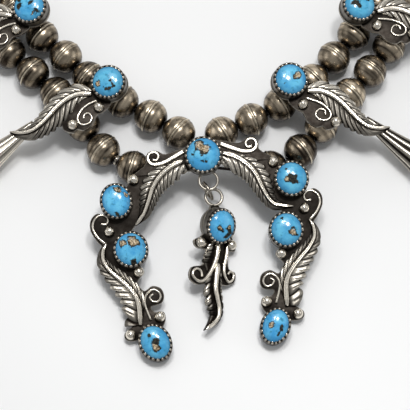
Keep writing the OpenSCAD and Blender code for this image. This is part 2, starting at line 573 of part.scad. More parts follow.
for (s = [0, 1], k = [0:2])
  placed() naja_stone(2 * s - 1, k);
for (s = [0, 1], k = [1:per_side]) {
  placed() blossom(2 * s - 1, k);
  placed() blossom_gem(2 * s - 1, k);
}
placed() naja();
placed() naja_stone(1, -1);  // naja_stone_top
placed() drop_link();
placed() drop();
placed() drop_gem();  // drop_stone
placed() bead_string(inner, inner_mid, -1, inner_places);  // inner_beads_left
placed() bead_string(inner, inner_mid, 1, inner_places);  // inner_beads_right
placed()  // outer_beads_left
  bead_string(outer, outer_mid, -1, outer_places(-1));
placed()  // outer_beads_right
  bead_string(outer, outer_mid, 1, outer_places(1));
placed()  // inner_thread
  thread(inner, inner_mid, inner_places, inner_places, [-0.9, 0.9]);
placed()  // outer_thread
  thread(outer, outer_mid, outer_places(-1), outer_places(1), [-12, -9, 0, 9.8, 12]);
placed() wire_coil();
placed() end_cone(-1);  // end_cone_left
placed() end_cone(1);  // end_cone_right
placed() clasp();
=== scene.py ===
import math
from collections import namedtuple

import bpy
import numpy as np
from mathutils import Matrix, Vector
from mathutils.geometry import tessellate_polygon


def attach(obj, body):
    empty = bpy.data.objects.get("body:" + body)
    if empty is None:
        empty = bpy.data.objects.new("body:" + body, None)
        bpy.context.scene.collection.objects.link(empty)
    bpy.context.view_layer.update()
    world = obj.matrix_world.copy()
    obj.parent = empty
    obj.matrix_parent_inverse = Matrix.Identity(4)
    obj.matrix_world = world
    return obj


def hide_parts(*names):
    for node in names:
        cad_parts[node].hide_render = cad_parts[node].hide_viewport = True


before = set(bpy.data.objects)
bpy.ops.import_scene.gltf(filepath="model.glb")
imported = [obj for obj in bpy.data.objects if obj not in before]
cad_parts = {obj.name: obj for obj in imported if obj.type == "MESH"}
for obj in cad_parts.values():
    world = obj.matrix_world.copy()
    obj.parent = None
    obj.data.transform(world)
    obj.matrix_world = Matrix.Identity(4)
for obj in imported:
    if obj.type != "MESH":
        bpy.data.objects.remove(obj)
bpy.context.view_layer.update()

# Sizes in millimetres and degrees, as in part.scad. A drilled bead: radius, half length, how much of a full
# ball its ends lack, radius of its bore, height of its seam
BEAD_R = 4.55
POLE = 4.2
POLE_CUT = 0.22
BORE = 0.95
SEAM_HEIGHT = 0.14
# Thread, straight for so far to each side of a bead's middle
THREAD_R = 0.4
THREAD_Z = BEAD_R
STRAIGHT_HALF = 3.9
# From bead to bead, also across a blossom's lug on the inner and the outer strand; more at the coil
PITCH = 8.7
INNER_GAP = 11.2
OUTER_GAP = 10.3
COIL_GAP = 0.6
# Soldered silver: plate, balls, middle height of the wires, bezels with their floor and the gaps that their
# stones keep, how deep a leaning bezel's foot is sunk below its pivot, lugs
PLATE = 0.8
BALL_R = 1.35
WIRE_Z = PLATE + 0.3
BEZEL_H = 3.0
BEZEL_WALL = 0.45
CUP_FLOOR = PLATE + 0.4
SIDE_GAP = 0.2
STONE_GAP = 0.08
STONE_RISE = 0.9
SUNK = 0.2
LUG_R = 1.3
LUG_BORE = 0.82
# The planes in which blossoms, naja and drop lie
BLOSSOM_Z = 10.3
BLOSSOM_SLOPE = 5.0
BEZEL_LEAN = 6.0
LEAN_LIFT = 0.3
NAJA_AT = (-1.3, 12.0, 10.0)
NAJA_TURN = 6.0
NAJA_SLOPE = 10.9
DROP_AT = (2.9, -5.9, 4.0)
DROP_PITCH = 5.0
DROP_ROLL = 26.0
# From the origin of these tables to the middle of the necklace
SHIFT = np.array([3.454, -102.046, 0.0])
SIDES = {"left": -1, "right": 1}

Stone = namedtuple("Stone", "x y half_width half_length lean")
Ring = namedtuple("Ring", "x y z radius wire")
# One side of a leaf: lobes, their half widths, brightness and sweep from root to tip, depth of the barbs.
# The brightness is partly polish and oxide, and partly painted shade where a side or stretch slopes from
# the light.
Side = namedtuple("Side", "lobes widths shine sweep barbs")

# Stations of the strands from the naja to the back: inner x, inner y, outer x, outer y
LEFT = np.array([
    [-1.3, 15.4, -1.3, 10.6], [-7.2, 20.1, -10.2, 9.4], [-14.4, 24.6, -19.6, 10.5],
    [-22, 29, -27.2, 15.8], [-30.6, 35.5, -32.6, 23.2], [-37.1, 41.8, -38.6, 30.6],
    [-43.8, 47.9, -45.4, 36.9], [-50.2, 54.9, -56.4, 47.6], [-64, 73.5, -72.1, 68.5],
    [-76, 97, -84.9, 93.6], [-83.5, 124, -92.9, 122.5], [-85, 153, -94.5, 153.8],
    [-78.5, 182, -87.3, 185.5], [-63, 208.5, -70.4, 214.5], [-43.5, 226.8, -47.4, 236],
    [-28, 236, -28, 242.8], [-16, 239.9, -16, 242.1]])
RIGHT = np.array([
    [-1.3, 15.4, -1.3, 10.6], [4.5, 19.9, 8.4, 9.4], [12.1, 23.5, 17.6, 10.4],
    [19.8, 27.9, 25.3, 15.3], [28.2, 34.6, 30.6, 22], [34.3, 41.5, 36.6, 29.2],
    [39.9, 48.6, 42.7, 36.2], [45.3, 56.2, 52.6, 50], [57, 75.5, 65.4, 71],
    [68, 98.5, 76.9, 95.1], [76, 125, 85.3, 123.2], [78.5, 153.5, 88, 154.1],
    [72.5, 182, 81.4, 185.4], [57.5, 208.5, 65, 214.4], [38.5, 226.8, 42.4, 236],
    [24, 236, 24, 242.8], [12, 239.9, 12, 242.1]])

# Naja, drawn as its right arm, with what differs given for side -1 and side 1
NAJA_TOP = Stone(0.2, -1.7, 4.25, 4.25, 0)
NAJA_STONES = {
    -1: [Stone(22.7, -10.3, 3.55, 4.1, 6), Stone(19.8, -22.9, 3.85, 4.1, 4),
         Stone(15.2, -46.9, 3.5, 4.3, 24)],
    1: [Stone(22.15, -10, 3.85, 4.1, 0), Stone(19.8, -22.9, 3.85, 4.1, 4),
        Stone(15.2, -46.9, 3.2, 4.2, 24)]}
# How the arms lie off the axis: right of it at the top, less so with each millimetre down, right arm higher
ARM_OFFSET = 0.56
ARM_DRIFT = 0.032
ARM_STEP = 0.55
NAJA_BALLS = [(18, -4.9), (24.9, -17.6), (18.2, -28.6), (13.6, -40.4), (21.2, -44.2)]
UPPER_ROOT = [(5.2, -1.3), (8.3, -2.5), (11.3, -4.8), (13.3, -7.6), (14.6, -10.9), (15.8, -13.6)]
NAJA_UPPER = {-1: UPPER_ROOT + [(17, -15.2), (18.3, -16.7)],
              1: UPPER_ROOT + [(17.4, -15.6), (19.8, -16.4), (22.2, -16.8)]}
NAJA_LOWER = [
    (18.6, -42), (18.7, -37.2), (19.4, -34.6), (21, -32.2), (23.2, -29.8), (25.4, -27.5),
    (26.8, -25), (26.8, -22.5), (25.9, -20.5)]
NAJA_SCROLLS = [
    [(4.6, 1.2), (7.6, -0.2), (10.2, -1.3), (12.4, -1.5), (13.6, -0.9), (14, 0.3), (13.5, 1.4),
     (12.4, 1.7), (11.5, 1.2), (11.3, 0.3), (11.9, -0.4), (12.8, -0.2)],
    [(26.1, -20.6), (27.9, -18.8), (29, -16.6), (28.8, -14.7), (27.6, -13.4), (26.1, -13.3),
     (25.1, -14.3), (25.6, -15.6), (26.9, -15.5)],
    [(15.9, -41), (16.8, -38.4), (17.2, -36.2), (16.5, -34.3), (15, -33.4), (13.6, -34),
     (13.1, -35.4), (14, -36.5), (15.3, -36.2), (15.8, -35.2), (14.9, -34.5)]]
# Wire of each of those scrolls: radius, taper, depth of the line along it
SCROLL_WIRES = [(0.58, 0.56, 0.6), (0.32, 0.2, 0), (0.32, 0.2, 0)]
NAJA_OUTLINE = [
    (-0.5, 2), (5.2, 2), (9.4, 1), (11.7, 2.1), (13.7, 1.9), (14.6, 0.5), (14.8, -1.3), (18.2, -3.8),
    (19.6, -6), (24.5, -13), (27.8, -12.6), (29.6, -14.3), (29.7, -17), (28.2, -19.8), (27, -21.5),
    (26, -26), (22, -31.2), (19.6, -36), (19.8, -41), (22.7, -43.6), (22.4, -45.4), (20, -45.8),
    (17, -44.6), (13.6, -43.5), (12.2, -41.2), (12.6, -39.2), (14.8, -39), (15.6, -37.6), (13, -37),
    (12.2, -35.2), (12.9, -33.2), (15, -32.4), (17.2, -33.4), (18.6, -31), (16.8, -28.9), (17.6, -27.2),
    (19.5, -26), (19.5, -20), (19, -17.5), (15.6, -14), (13, -9), (9, -5.5), (5, -4),
    (-0.5, -4)]
# Its lugs on the threads: x, y on the table and turn
NAJA_LUGS = [(-1.3, 15.55, 0), (-10.2, 9.4, -4), (8.4, 9.4, 4)]
NAJA_LUG_THICK = 1.6

# Blossom, in its own plane: x away from the naja along the strand, y outward
BLOSSOM_STONE = Stone(-1.6, -0.7, 3.95, 3.95, 0)
BLOSSOM_DISC_R = 4.75
BLOSSOM_BEZEL_H = BEZEL_H + 0.2
BLOSSOM_BALLS = {-1: [(-3.1, 5.9), (-0.6, 13.7)], 1: [(-2.6, 6.3), (1.1, 15.2)]}
BLOSSOM_SPINE = [
    (0.6, 4.2), (3.4, 6.4), (5, 9.3), (5.7, 12.6), (5.9, 15.7), (6.2, 18.5), (7, 21.1), (8.7, 23.1),
    (11.4, 24.8)]
BLOSSOM_SCROLL = {
    -1: [(-1.6, 4.7), (-0.4, 6.9), (0.1, 9.3), (-0.4, 11.4), (-1.6, 12.25), (-2.8, 12), (-3.7, 10.7),
         (-3.4, 9.3), (-2.1, 8.7), (-1.3, 9.7), (-1.8, 10.7)],
    1: [(-0.9, 5.2), (1, 8.2), (1.8, 10.8), (1.6, 12.6), (0.3, 13.4), (-1.1, 12.8), (-1.9, 11.4),
        (-1.4, 10.1), (0.1, 9.9), (0.9, 11), (0.3, 12)]}
BLOSSOM_OUTLINE = [
    (-4.6, 2.6), (-4.7, 6), (-3.9, 7.9), (-4.5, 10.5), (-3.8, 13), (-2.2, 13.9), (-1.9, 15.3),
    (0.6, 16.1), (2.5, 14.6), (5, 13), (4.4, 9), (2.6, 6.5), (1.4, 2)]
INNER_LUG_THICK = 1.9
OUTER_LUG_THICK = 1.1
# From a blossom's inner lug to its outer one, outward and along
OUTER_REACH = 10.3
OUTER_SHIFT = 3.65
# How far the face of a blossom sits off its lug on the table, for blossoms 1 and 2 of each side
FACE_SHIFTS = {-1: [(0, -1.05), (0.2, 1.3)], 1: [(-0.8, 0.6), (-1.5, 0.8)]}
# Trumpet stations: x, y, z, radius; its wall, its flutes and how deep they are outside and inside
TRUMPET = [
    (8.4, 18.9, -0.9, 1), (10.9, 28.1, -2.05, 2.5), (12.7, 34.5, -2.4, 3.7), (13.3, 36.3, -2.5, 4.5)]
TRUMPET_WALL = 0.45
FLUTES = 9
FLUTE_OUTSIDE = 0.055
FLUTE_INSIDE = 0.03
TRUMPET_SHINE = {-1: 0.72, 1: 0.3}

# Drop, in its own plane; its bezel leans back on a level foot
DROP_STONE = Stone(-0.65, -0.1, 3.45, 4, 0)
DROP_LEAN = 16.0
DROP_LIFT = 1.2
DROP_FOOT = 2.4
DROP_BALLS = [(-5, -5), (3.6, -4.8)]
DROP_STEM = [
    (-0.1, -4.6), (-0.4, -7.8), (-1.3, -10.5), (-2.5, -12.8), (-4, -14.6), (-5.7, -14.9),
    (-7.1, -13.8), (-7, -12.5), (-5.9, -11.8), (-4.9, -12.4), (-4.6, -13.8)]
DROP_SIDE = [
    (2.6, -4.9), (2.2, -8.1), (1.6, -10.7), (1.8, -12.9), (2.9, -14.4), (4.1, -13.6), (4.2, -12.2),
    (3.3, -11.7), (2.7, -12.5)]
DROP_SPINE = [
    (-0.2, -10), (-0.7, -13.8), (-0.9, -16.5), (-0.4, -19.1), (0.1, -21.5), (-0.1, -23.6),
    (-1.4, -25.5), (-3.7, -27.3)]
DROP_OUTLINE = [
    (-4.2, -2.5), (-6.7, -4.3), (-6, -6.1), (-3.4, -6.6), (-3.9, -8.6), (-4.4, -10.6), (-7.4, -11.5),
    (-8, -14.2), (-6, -15.8), (-3.2, -15.4), (-1.6, -16.5), (-0.5, -22), (0.5, -22), (0.4, -16),
    (2.8, -15.3), (4.8, -14.2), (5, -11.8), (3.2, -10.9), (2.9, -8), (2.8, -6.4), (4.8, -6.2),
    (5.2, -4.5), (4, -2.5), (1.2, 3), (0.4, 5.3), (-1.9, 5.3), (-2.6, 3)]
NAJA_RING = Ring(1.44, -7.41, 0.35, 2.37, 0.36)
DROP_RING = Ring(-0.9, 7.6, 0.4, 2.15, 0.42)
LINK_RING = Ring(0.7, 2.69, 7.13, 2.4, 0.36)
LINK_TURN = -61.1

# The two sides of each leaf: outer and inner on naja and blossoms, right and left on the drop
UPPER_SIDES = [
    Side(13, [0.4, 1.2, 2.8, 3.3, 2.5, 1.3, 0.15], [0.3, 0.9, 1, 0.9, 0.35, 0.15, 0.1],
         [0.6, 0.6, 0.7, 0.9], 0.32),
    Side(13, [3, 4, 3.9, 3.1, 2.3, 1.5, 0.15], [0.9, 0.75, 0.7, 0.55, 0.4, 0.2, 0.1],
         [1.1, 1.2, 1.2, 1.2], 0.22)]
LOWER_SIDES = [
    Side(10, [4, 4.4, 4.2, 3.7, 2.7, 1.7, 0.3], [0.3, 0.5, 0.9, 0.85, 0.4, 0.2, 0.15],
         [0.4, 0.8, 1.2, 1.6], 0.3),
    Side(12, [0.4, 1.4, 2.3, 2.4, 1.9, 1, 0.15], [0.05, 0.15, 0.9, 0.8, 0.5, 0.2, 0.1],
         [1.9, 1.9], 0.24)]
BLOSSOM_SIDES = [
    Side(13, [0.5, 2.4, 3.9, 4.2, 3.4, 2, 0.15], [1, 0.9, 0.5, 0.4, 0.35, 0.3, 0.15],
         [0.6, 1, 1.4, 1.8], 0.2),
    Side(11, [1.6, 3.4, 3.2, 2.7, 2.3, 1.4, 0.15], [1, 1, 1, 0.95, 0.7, 0.35, 0.15],
         [0.7, 1.1, 1.5, 1.9], 0.34)]
DROP_SIDES = [
    Side(9, [0.6, 1.8, 2.1, 1.8, 1.3, 0.8, 0.1], [0.5, 0.6, 0.6, 0.5, 0.15, 0.1, 0.1], [0.4, 0.4], 0.24),
    Side(8, [0.6, 2.4, 3.1, 3.3, 2.9, 1.6, 0.1], [0.4, 0.6, 0.8, 0.7, 0.15, 0.1, 0.1], [0.4, 0.4], 0.24)]
STEM_SIDES = [
    Side(1, [0.3, 0.3], [0.1, 0.1], [0, 0], 0),
    Side(4, [2.4, 3.2, 3.5, 3.2, 0.6], [1, 1, 0.5, 0.15, 0.1], [0.4, 0.4], 0.3)]

# Hook: middle, half length and half width, wire; how far from its middle a cone begins, and the cone's eye
HOOK_AT = (-2, 241.0, THREAD_Z + 0.2)
HOOK_HALF = (5.6, 2.6)
HOOK_WIRE = 0.45
CONE_FROM = 7
CONE_EYE = Ring(-1.4, 0, 0, 1.3, 0.4)
# Coil of wire: turns, radius, pitch, wire
COIL_TURNS = 3
COIL_R = 1.38
COIL_PITCH = 0.2
COIL_WIRE = 0.1

# Matrix spots on each stone: x, y and radius in hundredths of the stone's radius, kind 0 dark or 1 golden
SPOTS = {
    "naja_stone_top": [(-22, 46, 26, 1), (10, 34, 22, 1), (-6, 44, 9, 0), (-50, 26, 9, 0), (-62, 2, 7, 0),
        (-10, 10, 12, 0), (-4, -10, 7, 0), (-8, -42, 8, 0), (14, -44, 7, 0)],
    "naja_stone_left_1": [(18, 70, 20, 0), (32, 62, 12, 1), (5, 78, 14, 1), (66, 42, 13, 1),
        (8, -78, 12, 0)],
    "naja_stone_left_2": [(-55, 35, 18, 1), (10, 48, 26, 1), (30, 42, 18, 1), (-5, 40, 18, 0),
        (45, 30, 14, 0), (22, -78, 20, 0), (-42, 36, 10, 0)],
    "naja_stone_left_3": [(5, 12, 20, 0), (12, -2, 16, 0), (-2, -28, 20, 1), (-10, -10, 13, 0),
        (-42, 35, 9, 0), (22, -36, 12, 0)],
    "naja_stone_right_1": [(-8, 2, 25, 0), (18, -2, 20, 0), (-30, -14, 14, 1), (32, -26, 12, 0),
        (5, -18, 16, 0), (-35, 50, 7, 0)],
    "naja_stone_right_2": [(42, -20, 20, 1), (58, -34, 12, 0), (-25, 62, 8, 0)],
    "naja_stone_right_3": [(-32, 2, 18, 1), (-22, -10, 12, 0), (40, -32, 13, 0), (25, -50, 11, 0),
        (50, -10, 10, 0)],
    "drop_stone": [(-28, -20, 20, 0), (-25, -18, 12, 1), (38, -10, 16, 0), (52, -28, 18, 0),
        (50, -5, 10, 1), (30, -55, 16, 0), (10, -62, 10, 0)],
    "blossom_stone_left_1": [(-57, -14, 15, 1), (-66, -20, 9, 0), (22, 2, 7, 0), (34, -25, 10, 0),
        (36, -42, 12, 0), (12, -48, 9, 0), (-10, -52, 8, 0), (-28, -47, 6, 0)],
    "blossom_stone_right_1": [(38, 18, 20, 1), (30, 2, 9, 0), (-50, -35, 6, 0)]}

rng = np.random.default_rng(7)


# Curves and placing

def smooth(points, n=8):
    """Catmull-Rom curve through the points, n steps between neighbours:
    q(t) = (2b + (c-a)t + (2a-5b+4c-d)t^2 + (3b-a-3c+d)t^3) / 2 for neighbours a, b, c, d."""
    p = np.asarray(points, float)
    p = np.vstack([2 * p[0] - p[1], p, 2 * p[-1] - p[-2]])
    t = (np.arange(n) / n)[None, :, None]
    a, b, c, d = (p[i:len(p) - 3 + i, None, :] for i in range(4))
    q = 2 * b + (c - a) * t + (2 * a - 5 * b + 4 * c - d) * t ** 2 + (3 * b - a - 3 * c + d) * t ** 3
    return np.vstack([q.reshape(-1, p.shape[1]) / 2, p[-2]])


class Curve:
    """A smooth plane curve measured by arc length."""

    def __init__(self, points, n=8):
        self.p = smooth(points, n)
        self.s = np.concatenate([[0], np.cumsum(np.linalg.norm(np.diff(self.p, axis=0), axis=1))])
        self.span = self.s[-1]

    def at(self, s):
        return np.stack([np.interp(s, self.s, self.p[:, i]) for i in range(self.p.shape[1])], -1)

    def heading(self, s):
        """Direction in degrees, taken over 0.6 mm to each side."""
        d = self.at(np.asarray(s) + 0.6) - self.at(np.asarray(s) - 0.6)
        return np.degrees(np.arctan2(d[..., 1], d[..., 0]))

    def nearest(self, q):
        return self.s[np.argmin(np.linalg.norm(self.p - q, axis=1))]


def shift(x, y, z):
    m = np.eye(4)
    m[:3, 3] = (x, y, z)
    return m


def turn(axis, degrees):
    """Rotation about one axis, right-hand rule."""
    a = math.radians(degrees)
    m = np.eye(4)
    i, j = {"x": (1, 2), "y": (2, 0), "z": (0, 1)}[axis]
    m[i, i] = m[j, j] = math.cos(a)
    m[i, j], m[j, i] = -math.sin(a), math.sin(a)
    return m


def unit(d):
    return d / np.maximum(np.linalg.norm(d, axis=-1, keepdims=True), 1e-9)


def full_turn(n):
    """n angles round a circle."""
    return np.linspace(0, 2 * np.pi, n, endpoint=False)


# Meshes

class Shape:
    """Closed surfaces gathered into one mesh. wear is 1 where silver is polished and 0 where it is black;
    tone is a lightness of its own for each bead or stone, on beads with painted shade towards their
    undersides."""

    def __init__(self, place=None):
        self.place = np.eye(4) if place is None else place
        self.verts = []
        self.faces = []
        self.extra = []
        self.count = 0

    def add(self, verts, faces, wear=1.0, tone=0.5, place=None, **more):
        """faces are rows of four indices; a row whose last two are equal is a triangle. A surface whose
        volume is negative is turned to face outward."""
        m = self.place if place is None else place
        v = np.asarray(verts, float).reshape(-1, 3) @ m[:3, :3].T + m[:3, 3]
        f = np.asarray(faces, int)
        a, b, c, d = (v[f[:, i]] for i in range(4))
        volume = (np.cross(b - a, c - a) * a).sum() + (np.cross(c - a, d - a) * a).sum()
        if volume < 0:
            f = f[:, [0, 3, 2, 1]]
            triangle = f[:, 1] == f[:, 2]
            f[triangle] = f[triangle][:, [0, 1, 3, 3]]
        self.verts.append(v)
        self.faces.append(f + self.count)
        values = {"wear": wear, "tone": tone, **more}
        self.extra.append({k: np.broadcast_to(np.asarray(x, float).ravel() if np.ndim(x) else x, len(v))
                           for k, x in values.items()})
        self.count += len(v)
        return self

    def piece(self, name, slot, material):
        """The gathered surfaces as a smooth mesh in metres that stands for the CAD node of its name."""
        v = (np.concatenate(self.verts) + SHIFT) * 0.001
        f = np.concatenate(self.faces)
        triangle = f[:, 2] == f[:, 3]
        mesh = bpy.data.meshes.new(name)
        mesh.from_pydata(v.tolist(), [], f[~triangle].tolist() + f[triangle][:, :3].tolist())
        mesh.validate()
        mesh.polygons.foreach_set("use_smooth", np.ones(len(mesh.polygons), bool))
        for key in self.extra[0]:
            values = np.concatenate([e[key] for e in self.extra]).astype(np.float32)
            mesh.attributes.new(key, "FLOAT", "POINT").data.foreach_set("value", values)
        mesh.materials.append(material)
        piece = bpy.data.objects.new(name, mesh)
        bpy.context.collection.objects.link(piece)
        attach(piece, "root")
        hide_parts(name)
        return piece


def skin(p, closed=False):
    """Points and faces of a surface of m rings of n points: quads between rings, and either the last ring
    joined to the first or a fan to the middle at both ends."""
    m, n = p.shape[:2]
    j = np.arange(n)
    k = (j + 1) % n
    i = np.arange(m if closed else m - 1)[:, None] * n
    following = (i + n) % (m * n)
    quads = np.stack([i + j, i + k, following + k, following + j], -1).reshape(-1, 4)
    v = p.reshape(-1, 3)
    if closed:
        return v, quads
    last = (m - 1) * n
    middle = np.full(n, m * n)
    caps = np.concatenate([np.stack([middle, k, j, j], -1),
                           np.stack([middle + 1, last + j, last + k, last + k], -1)])
    return np.vstack([v, p[0].mean(0), p[-1].mean(0)]), np.concatenate([quads, caps])


def capped(values):
    """A value a point of the rings, with one for the middle of each end added."""
    return np.concatenate([values.ravel(), [values[0].mean(), values[-1].mean()]])


def tube(path, radius, sides=10, flat=1.0, up=(0, 0, 1)):
    """A profile carried along a path: ring point = path + r (cos a * side + flat * sin a * top). Returns
    the rings and how far each point faces the top."""
    path = np.asarray(path, float)
    t = unit(np.gradient(path, axis=0))
    side = unit(np.cross(np.broadcast_to(up, t.shape), t))
    top = np.cross(t, side)
    a = full_turn(sides)[:, None]
    r = np.broadcast_to(radius, len(path))[:, None, None]
    ring = np.cos(a) * side[:, None] + flat * np.sin(a) * top[:, None]
    return path[:, None] + r * ring, np.broadcast_to(np.sin(a).T, (len(path), sides))


def line_on_top(a, at, width):
    """1 in a line along a tube's top, 0 beside it: exp(-((cos a - at) / width)^2) where sin a > 0."""
    return np.where(np.sin(a) > 0, np.exp(-((np.cos(a) - at) / width) ** 2), 0)


def torus(major, minor):
    """A wire ring about Z: ((R + r cos b) cos a, (R + r cos b) sin a, r sin b)."""
    a = full_turn(40)[:, None]
    b = full_turn(10)
    r = major + minor * np.cos(b)
    return np.stack([r * np.cos(a), r * np.sin(a), minor * np.sin(b) + 0 * a], -1)


def lathe(profile, sides=40):
    """A profile of (radius, height) rows turned about Z."""
    a = full_turn(sides)
    r, z = np.asarray(profile, float).T[:, :, None]
    return np.stack([r * np.cos(a), r * np.sin(a), z + 0 * a], -1)


# Silverwork

def ball(shape, p):
    """A solder ball: a sphere sunk a little into the plate, polished on top and dark round its foot."""
    a = np.radians(np.linspace(-88, 88, 15))
    g = lathe(BALL_R * np.stack([np.cos(a), np.sin(a)], 1), 22)
    g = g + np.array([p[0], p[1], PLATE + 0.45 * BALL_R])
    wear = np.clip(0.25 + 1.2 * np.sin(a), 0, 1)[:, None] * np.ones(22)
    shape.add(*skin(g), wear=capped(wear))


def wire(shape, points, r, taper=0.35, groove=0.0):
    """A scroll wire lying on the plate: a tube along the smooth curve, thinner by taper past its middle.
    Its crest is lowered by groove * exp(-(cos a / 0.3)^2) of its radius."""
    c = smooth(points, 6)
    t = np.linspace(0, 1, len(c))
    rad = r * (1 - taper * np.minimum(1, t / 0.55))
    g, up = tube(np.column_stack([c, np.full(len(c), WIRE_Z)]), rad, 14)
    line = line_on_top(full_turn(14), 0, 0.3)
    g[:, :, 2] -= groove * rad[:, None] * line
    wear = np.clip(0.35 + 0.75 * up, 0, 1) * (1 - 0.85 * (groove > 0) * line)
    shape.add(*skin(g), wear=capped(wear))


def table_at(values, s):
    """A value along a leaf, smooth between the evenly spaced values of a short table."""
    v = smooth(np.array(values, float)[:, None], 12)[:, 0]
    return np.interp(s, np.linspace(0, 1, len(v)), v)


# Leaf: points along it and across a side, height of its edge, rise of its lobes, underside
LEAF_ROWS = 420
LEAF_HALF = 9
LEAF_EDGE = 0.9
LEAF_RELIEF = 0.36
LEAF_BOTTOM = 0.05
# Its rib: points along and round it
RIB_ROWS = 90
RIB_SIDES = 24


def leaf_blade(shape, curve, left, right, crown, rib, dark):
    """The chased blade. A row v crosses it at w, -1 to 1, W being its half width, and sweeps to the tip:
    place on the spine s = v + hold sweep (0.8 |w| + 0.2 w^2) W / length, hold 0 at root and tip. With u the
    s less its sweep, c = lobes u^1.15 counts lobes and f = c mod 1 is the place in one. Reach across:
    W (1 - barbs (1 - sin(pi f^1.4)^0.6) w^2). Height: edge + crown (1 - w^2) + relief (sin(pi f)^0.5
    (1.15 - 0.5 f) - 0.35 split), split a fine cut at f = 0.52, less 0.14 by the rib and 0.25 at the rim."""
    v = np.linspace(0, 1, LEAF_ROWS)[:, None]
    w = np.linspace(-1, 1, 2 * LEAF_HALF - 1)[None]
    aw = np.abs(w)

    def along(column, s):
        values = (table_at(getattr(side, column), s) for side in (left, right))
        return np.where(w > 0, *values)
    lobes = np.where(w > 0, left.lobes, right.lobes)
    barbs = np.where(w > 0, left.barbs, right.barbs)
    lean = (0.8 * aw + 0.2 * aw ** 2) / curve.span
    hold = np.clip(v / 0.15, 0, 1) * np.clip((1 - v) / 0.1, 0, 1)
    s = v + 0 * w
    for _ in range(8):
        s = v + hold * lean * along("sweep", s) * along("widths", s)
    half = along("widths", s)
    u = s - lean * along("sweep", s) * half
    c = lobes * np.sign(u) * np.abs(u) ** 1.15 + np.where(w > 0, 0.0, 0.45)
    f = c % 1.0
    chased = np.clip((0.82 - s) / 0.1, 0, 1)

    reach = half * (1 - barbs * chased * (1 - np.sin(np.pi * f ** 1.4) ** 0.6) * aw ** 2)
    head = np.radians(curve.heading(s * curve.span))
    across = np.stack([-np.sin(head), np.cos(head)], -1)
    xy = curve.at(s * curve.span) + across * (w * reach)[..., None]

    gap = chased * np.exp(-(np.minimum(f, 1 - f) / (0.06 + 0.06 * aw)) ** 2)
    split = chased * np.exp(-((f - 0.52) / 0.07) ** 2) * np.clip((aw - 0.2) / 0.3, 0, 1)
    beside = np.maximum(aw * half - rib * (1.2 - 0.5 * s) - 0.1, 0)
    by_rib = np.exp(-(beside / 0.28) ** 2)
    rise = chased * np.clip((aw - 0.12) / 0.25, 0, 1) * np.clip(half / 1.2, 0, 1)
    lobe = np.sin(np.pi * f) ** 0.5 * (1.15 - 0.5 * f) - 0.35 * split
    z = LEAF_EDGE + crown * (1 - aw ** 2) + rise * LEAF_RELIEF * lobe
    z = z - 0.14 * by_rib - 0.25 * np.clip((aw - 0.86) / 0.14, 0, 1) ** 2

    own = 0.85 + 0.15 * np.sin(2.4 * np.floor(c) + 1)
    # Painted shade: the shine table darkens whole stretches of a side, on top of the oxide in the gaps,
    # cuts and by the rib.
    worn = along("shine", s) * own * (1 - gap) * (1 - 0.7 * split) * (1 - 0.9 * by_rib)
    worn = worn * (0.3 + 0.7 * np.minimum(1, aw / 0.6)) * np.clip((aw - dark) / 0.2, 0, 1)

    top = np.concatenate([xy, z[..., None]], -1)
    under = top[:, [-1, LEAF_HALF - 1, 0]].copy()
    under[..., 2] = LEAF_BOTTOM
    under[..., :2] = under[:, 1:2, :2] + (under[..., :2] - under[:, 1:2, :2]) * 0.96
    wear = np.concatenate([worn, np.zeros((LEAF_ROWS, 3))], 1)
    shape.add(*skin(np.concatenate([top, under], 1)), wear=capped(wear))


def leaf_rib(shape, curve, z, rib, groove):
    """The rib over a leaf's spine: a tube of radius rib (1.2 - 0.5 t), rounded off at root and tip, with a
    dark line beside its crest, groove deep."""
    t = np.linspace(0, 1, RIB_ROWS)
    rad = rib * (1.2 - 0.5 * t) * np.clip(0.6 + 6 * t, 0, 1) * np.clip((1.02 - t) / 0.08, 0.2, 1)
    path = np.column_stack([curve.at(t * curve.span), np.full(RIB_ROWS, z)])
    g, up = tube(path, rad, RIB_SIDES, 0.8)
    line = groove * line_on_top(full_turn(RIB_SIDES), -0.25, 0.14)
    g[:, :, 2] -= rad[:, None] * line
    shape.add(*skin(g), wear=capped(np.clip(0.5 + 0.9 * up, 0, 1) * np.clip(1 - 1.8 * line, 0, 1)))


def leaf(shape, spine, left, right, crown=0.5, rib=0.56, groove=0.45, dark=0.0):
    """A chased leaf on a spine, its two sides from a table; dark is how far its middle is left black."""
    curve = Curve(spine, 40)
    leaf_blade(shape, curve, left, right, crown, rib, dark)
    leaf_rib(shape, curve, LEAF_EDGE + crown + 0.12, rib, groove)


def plate(shape, outline, top=PLATE):
    """A back plate: its outline as rings for bottom edge, wall, rounded top edge and top inset, closed by
    tessellated caps."""
    p = np.asarray(outline, float)
    area = np.sum(p[:, 0] * np.roll(p[:, 1], -1) - np.roll(p[:, 0], -1) * p[:, 1])
    if area < 0:
        p = p[::-1]
    p = smooth(np.vstack([p[-1], p, p[:2]]), 4)[4:-5]
    d = unit(np.roll(p, -1, 0) - np.roll(p, 1, 0))
    out = np.stack([d[:, 1], -d[:, 0]], -1)
    # Inset, height and wear of each ring
    rings = [(0.08, 0.0, 0.1), (0.0, 0.12, 0.25), (0.0, top - 0.2, 0.45), (0.06, top - 0.05, 0.35),
             (0.2, top, 0.06)]
    g = np.stack([np.column_stack([p - inset * out, np.full(len(p), z)]) for inset, z, _ in rings])
    m, n = g.shape[:2]
    _, f = skin(g)
    wall = f[(f < m * n).all(1)]
    flat = tessellate_polygon([[Vector((x, y, 0)) for x, y in g[0, :, :2]]])
    caps = np.array([(*corners, corners[2]) for corners in flat])
    a, b, c = (g[0][caps[:, i]] for i in range(3))
    down = np.cross(b - a, c - a)[:, 2] <= 0
    caps[down] = caps[down][:, [0, 2, 1, 1]]
    under = caps[:, [0, 2, 1, 1]]
    wear = np.repeat([ring[2] for ring in rings], n)
    shape.add(g, np.concatenate([wall, caps + (m - 1) * n, under]), wear=wear)


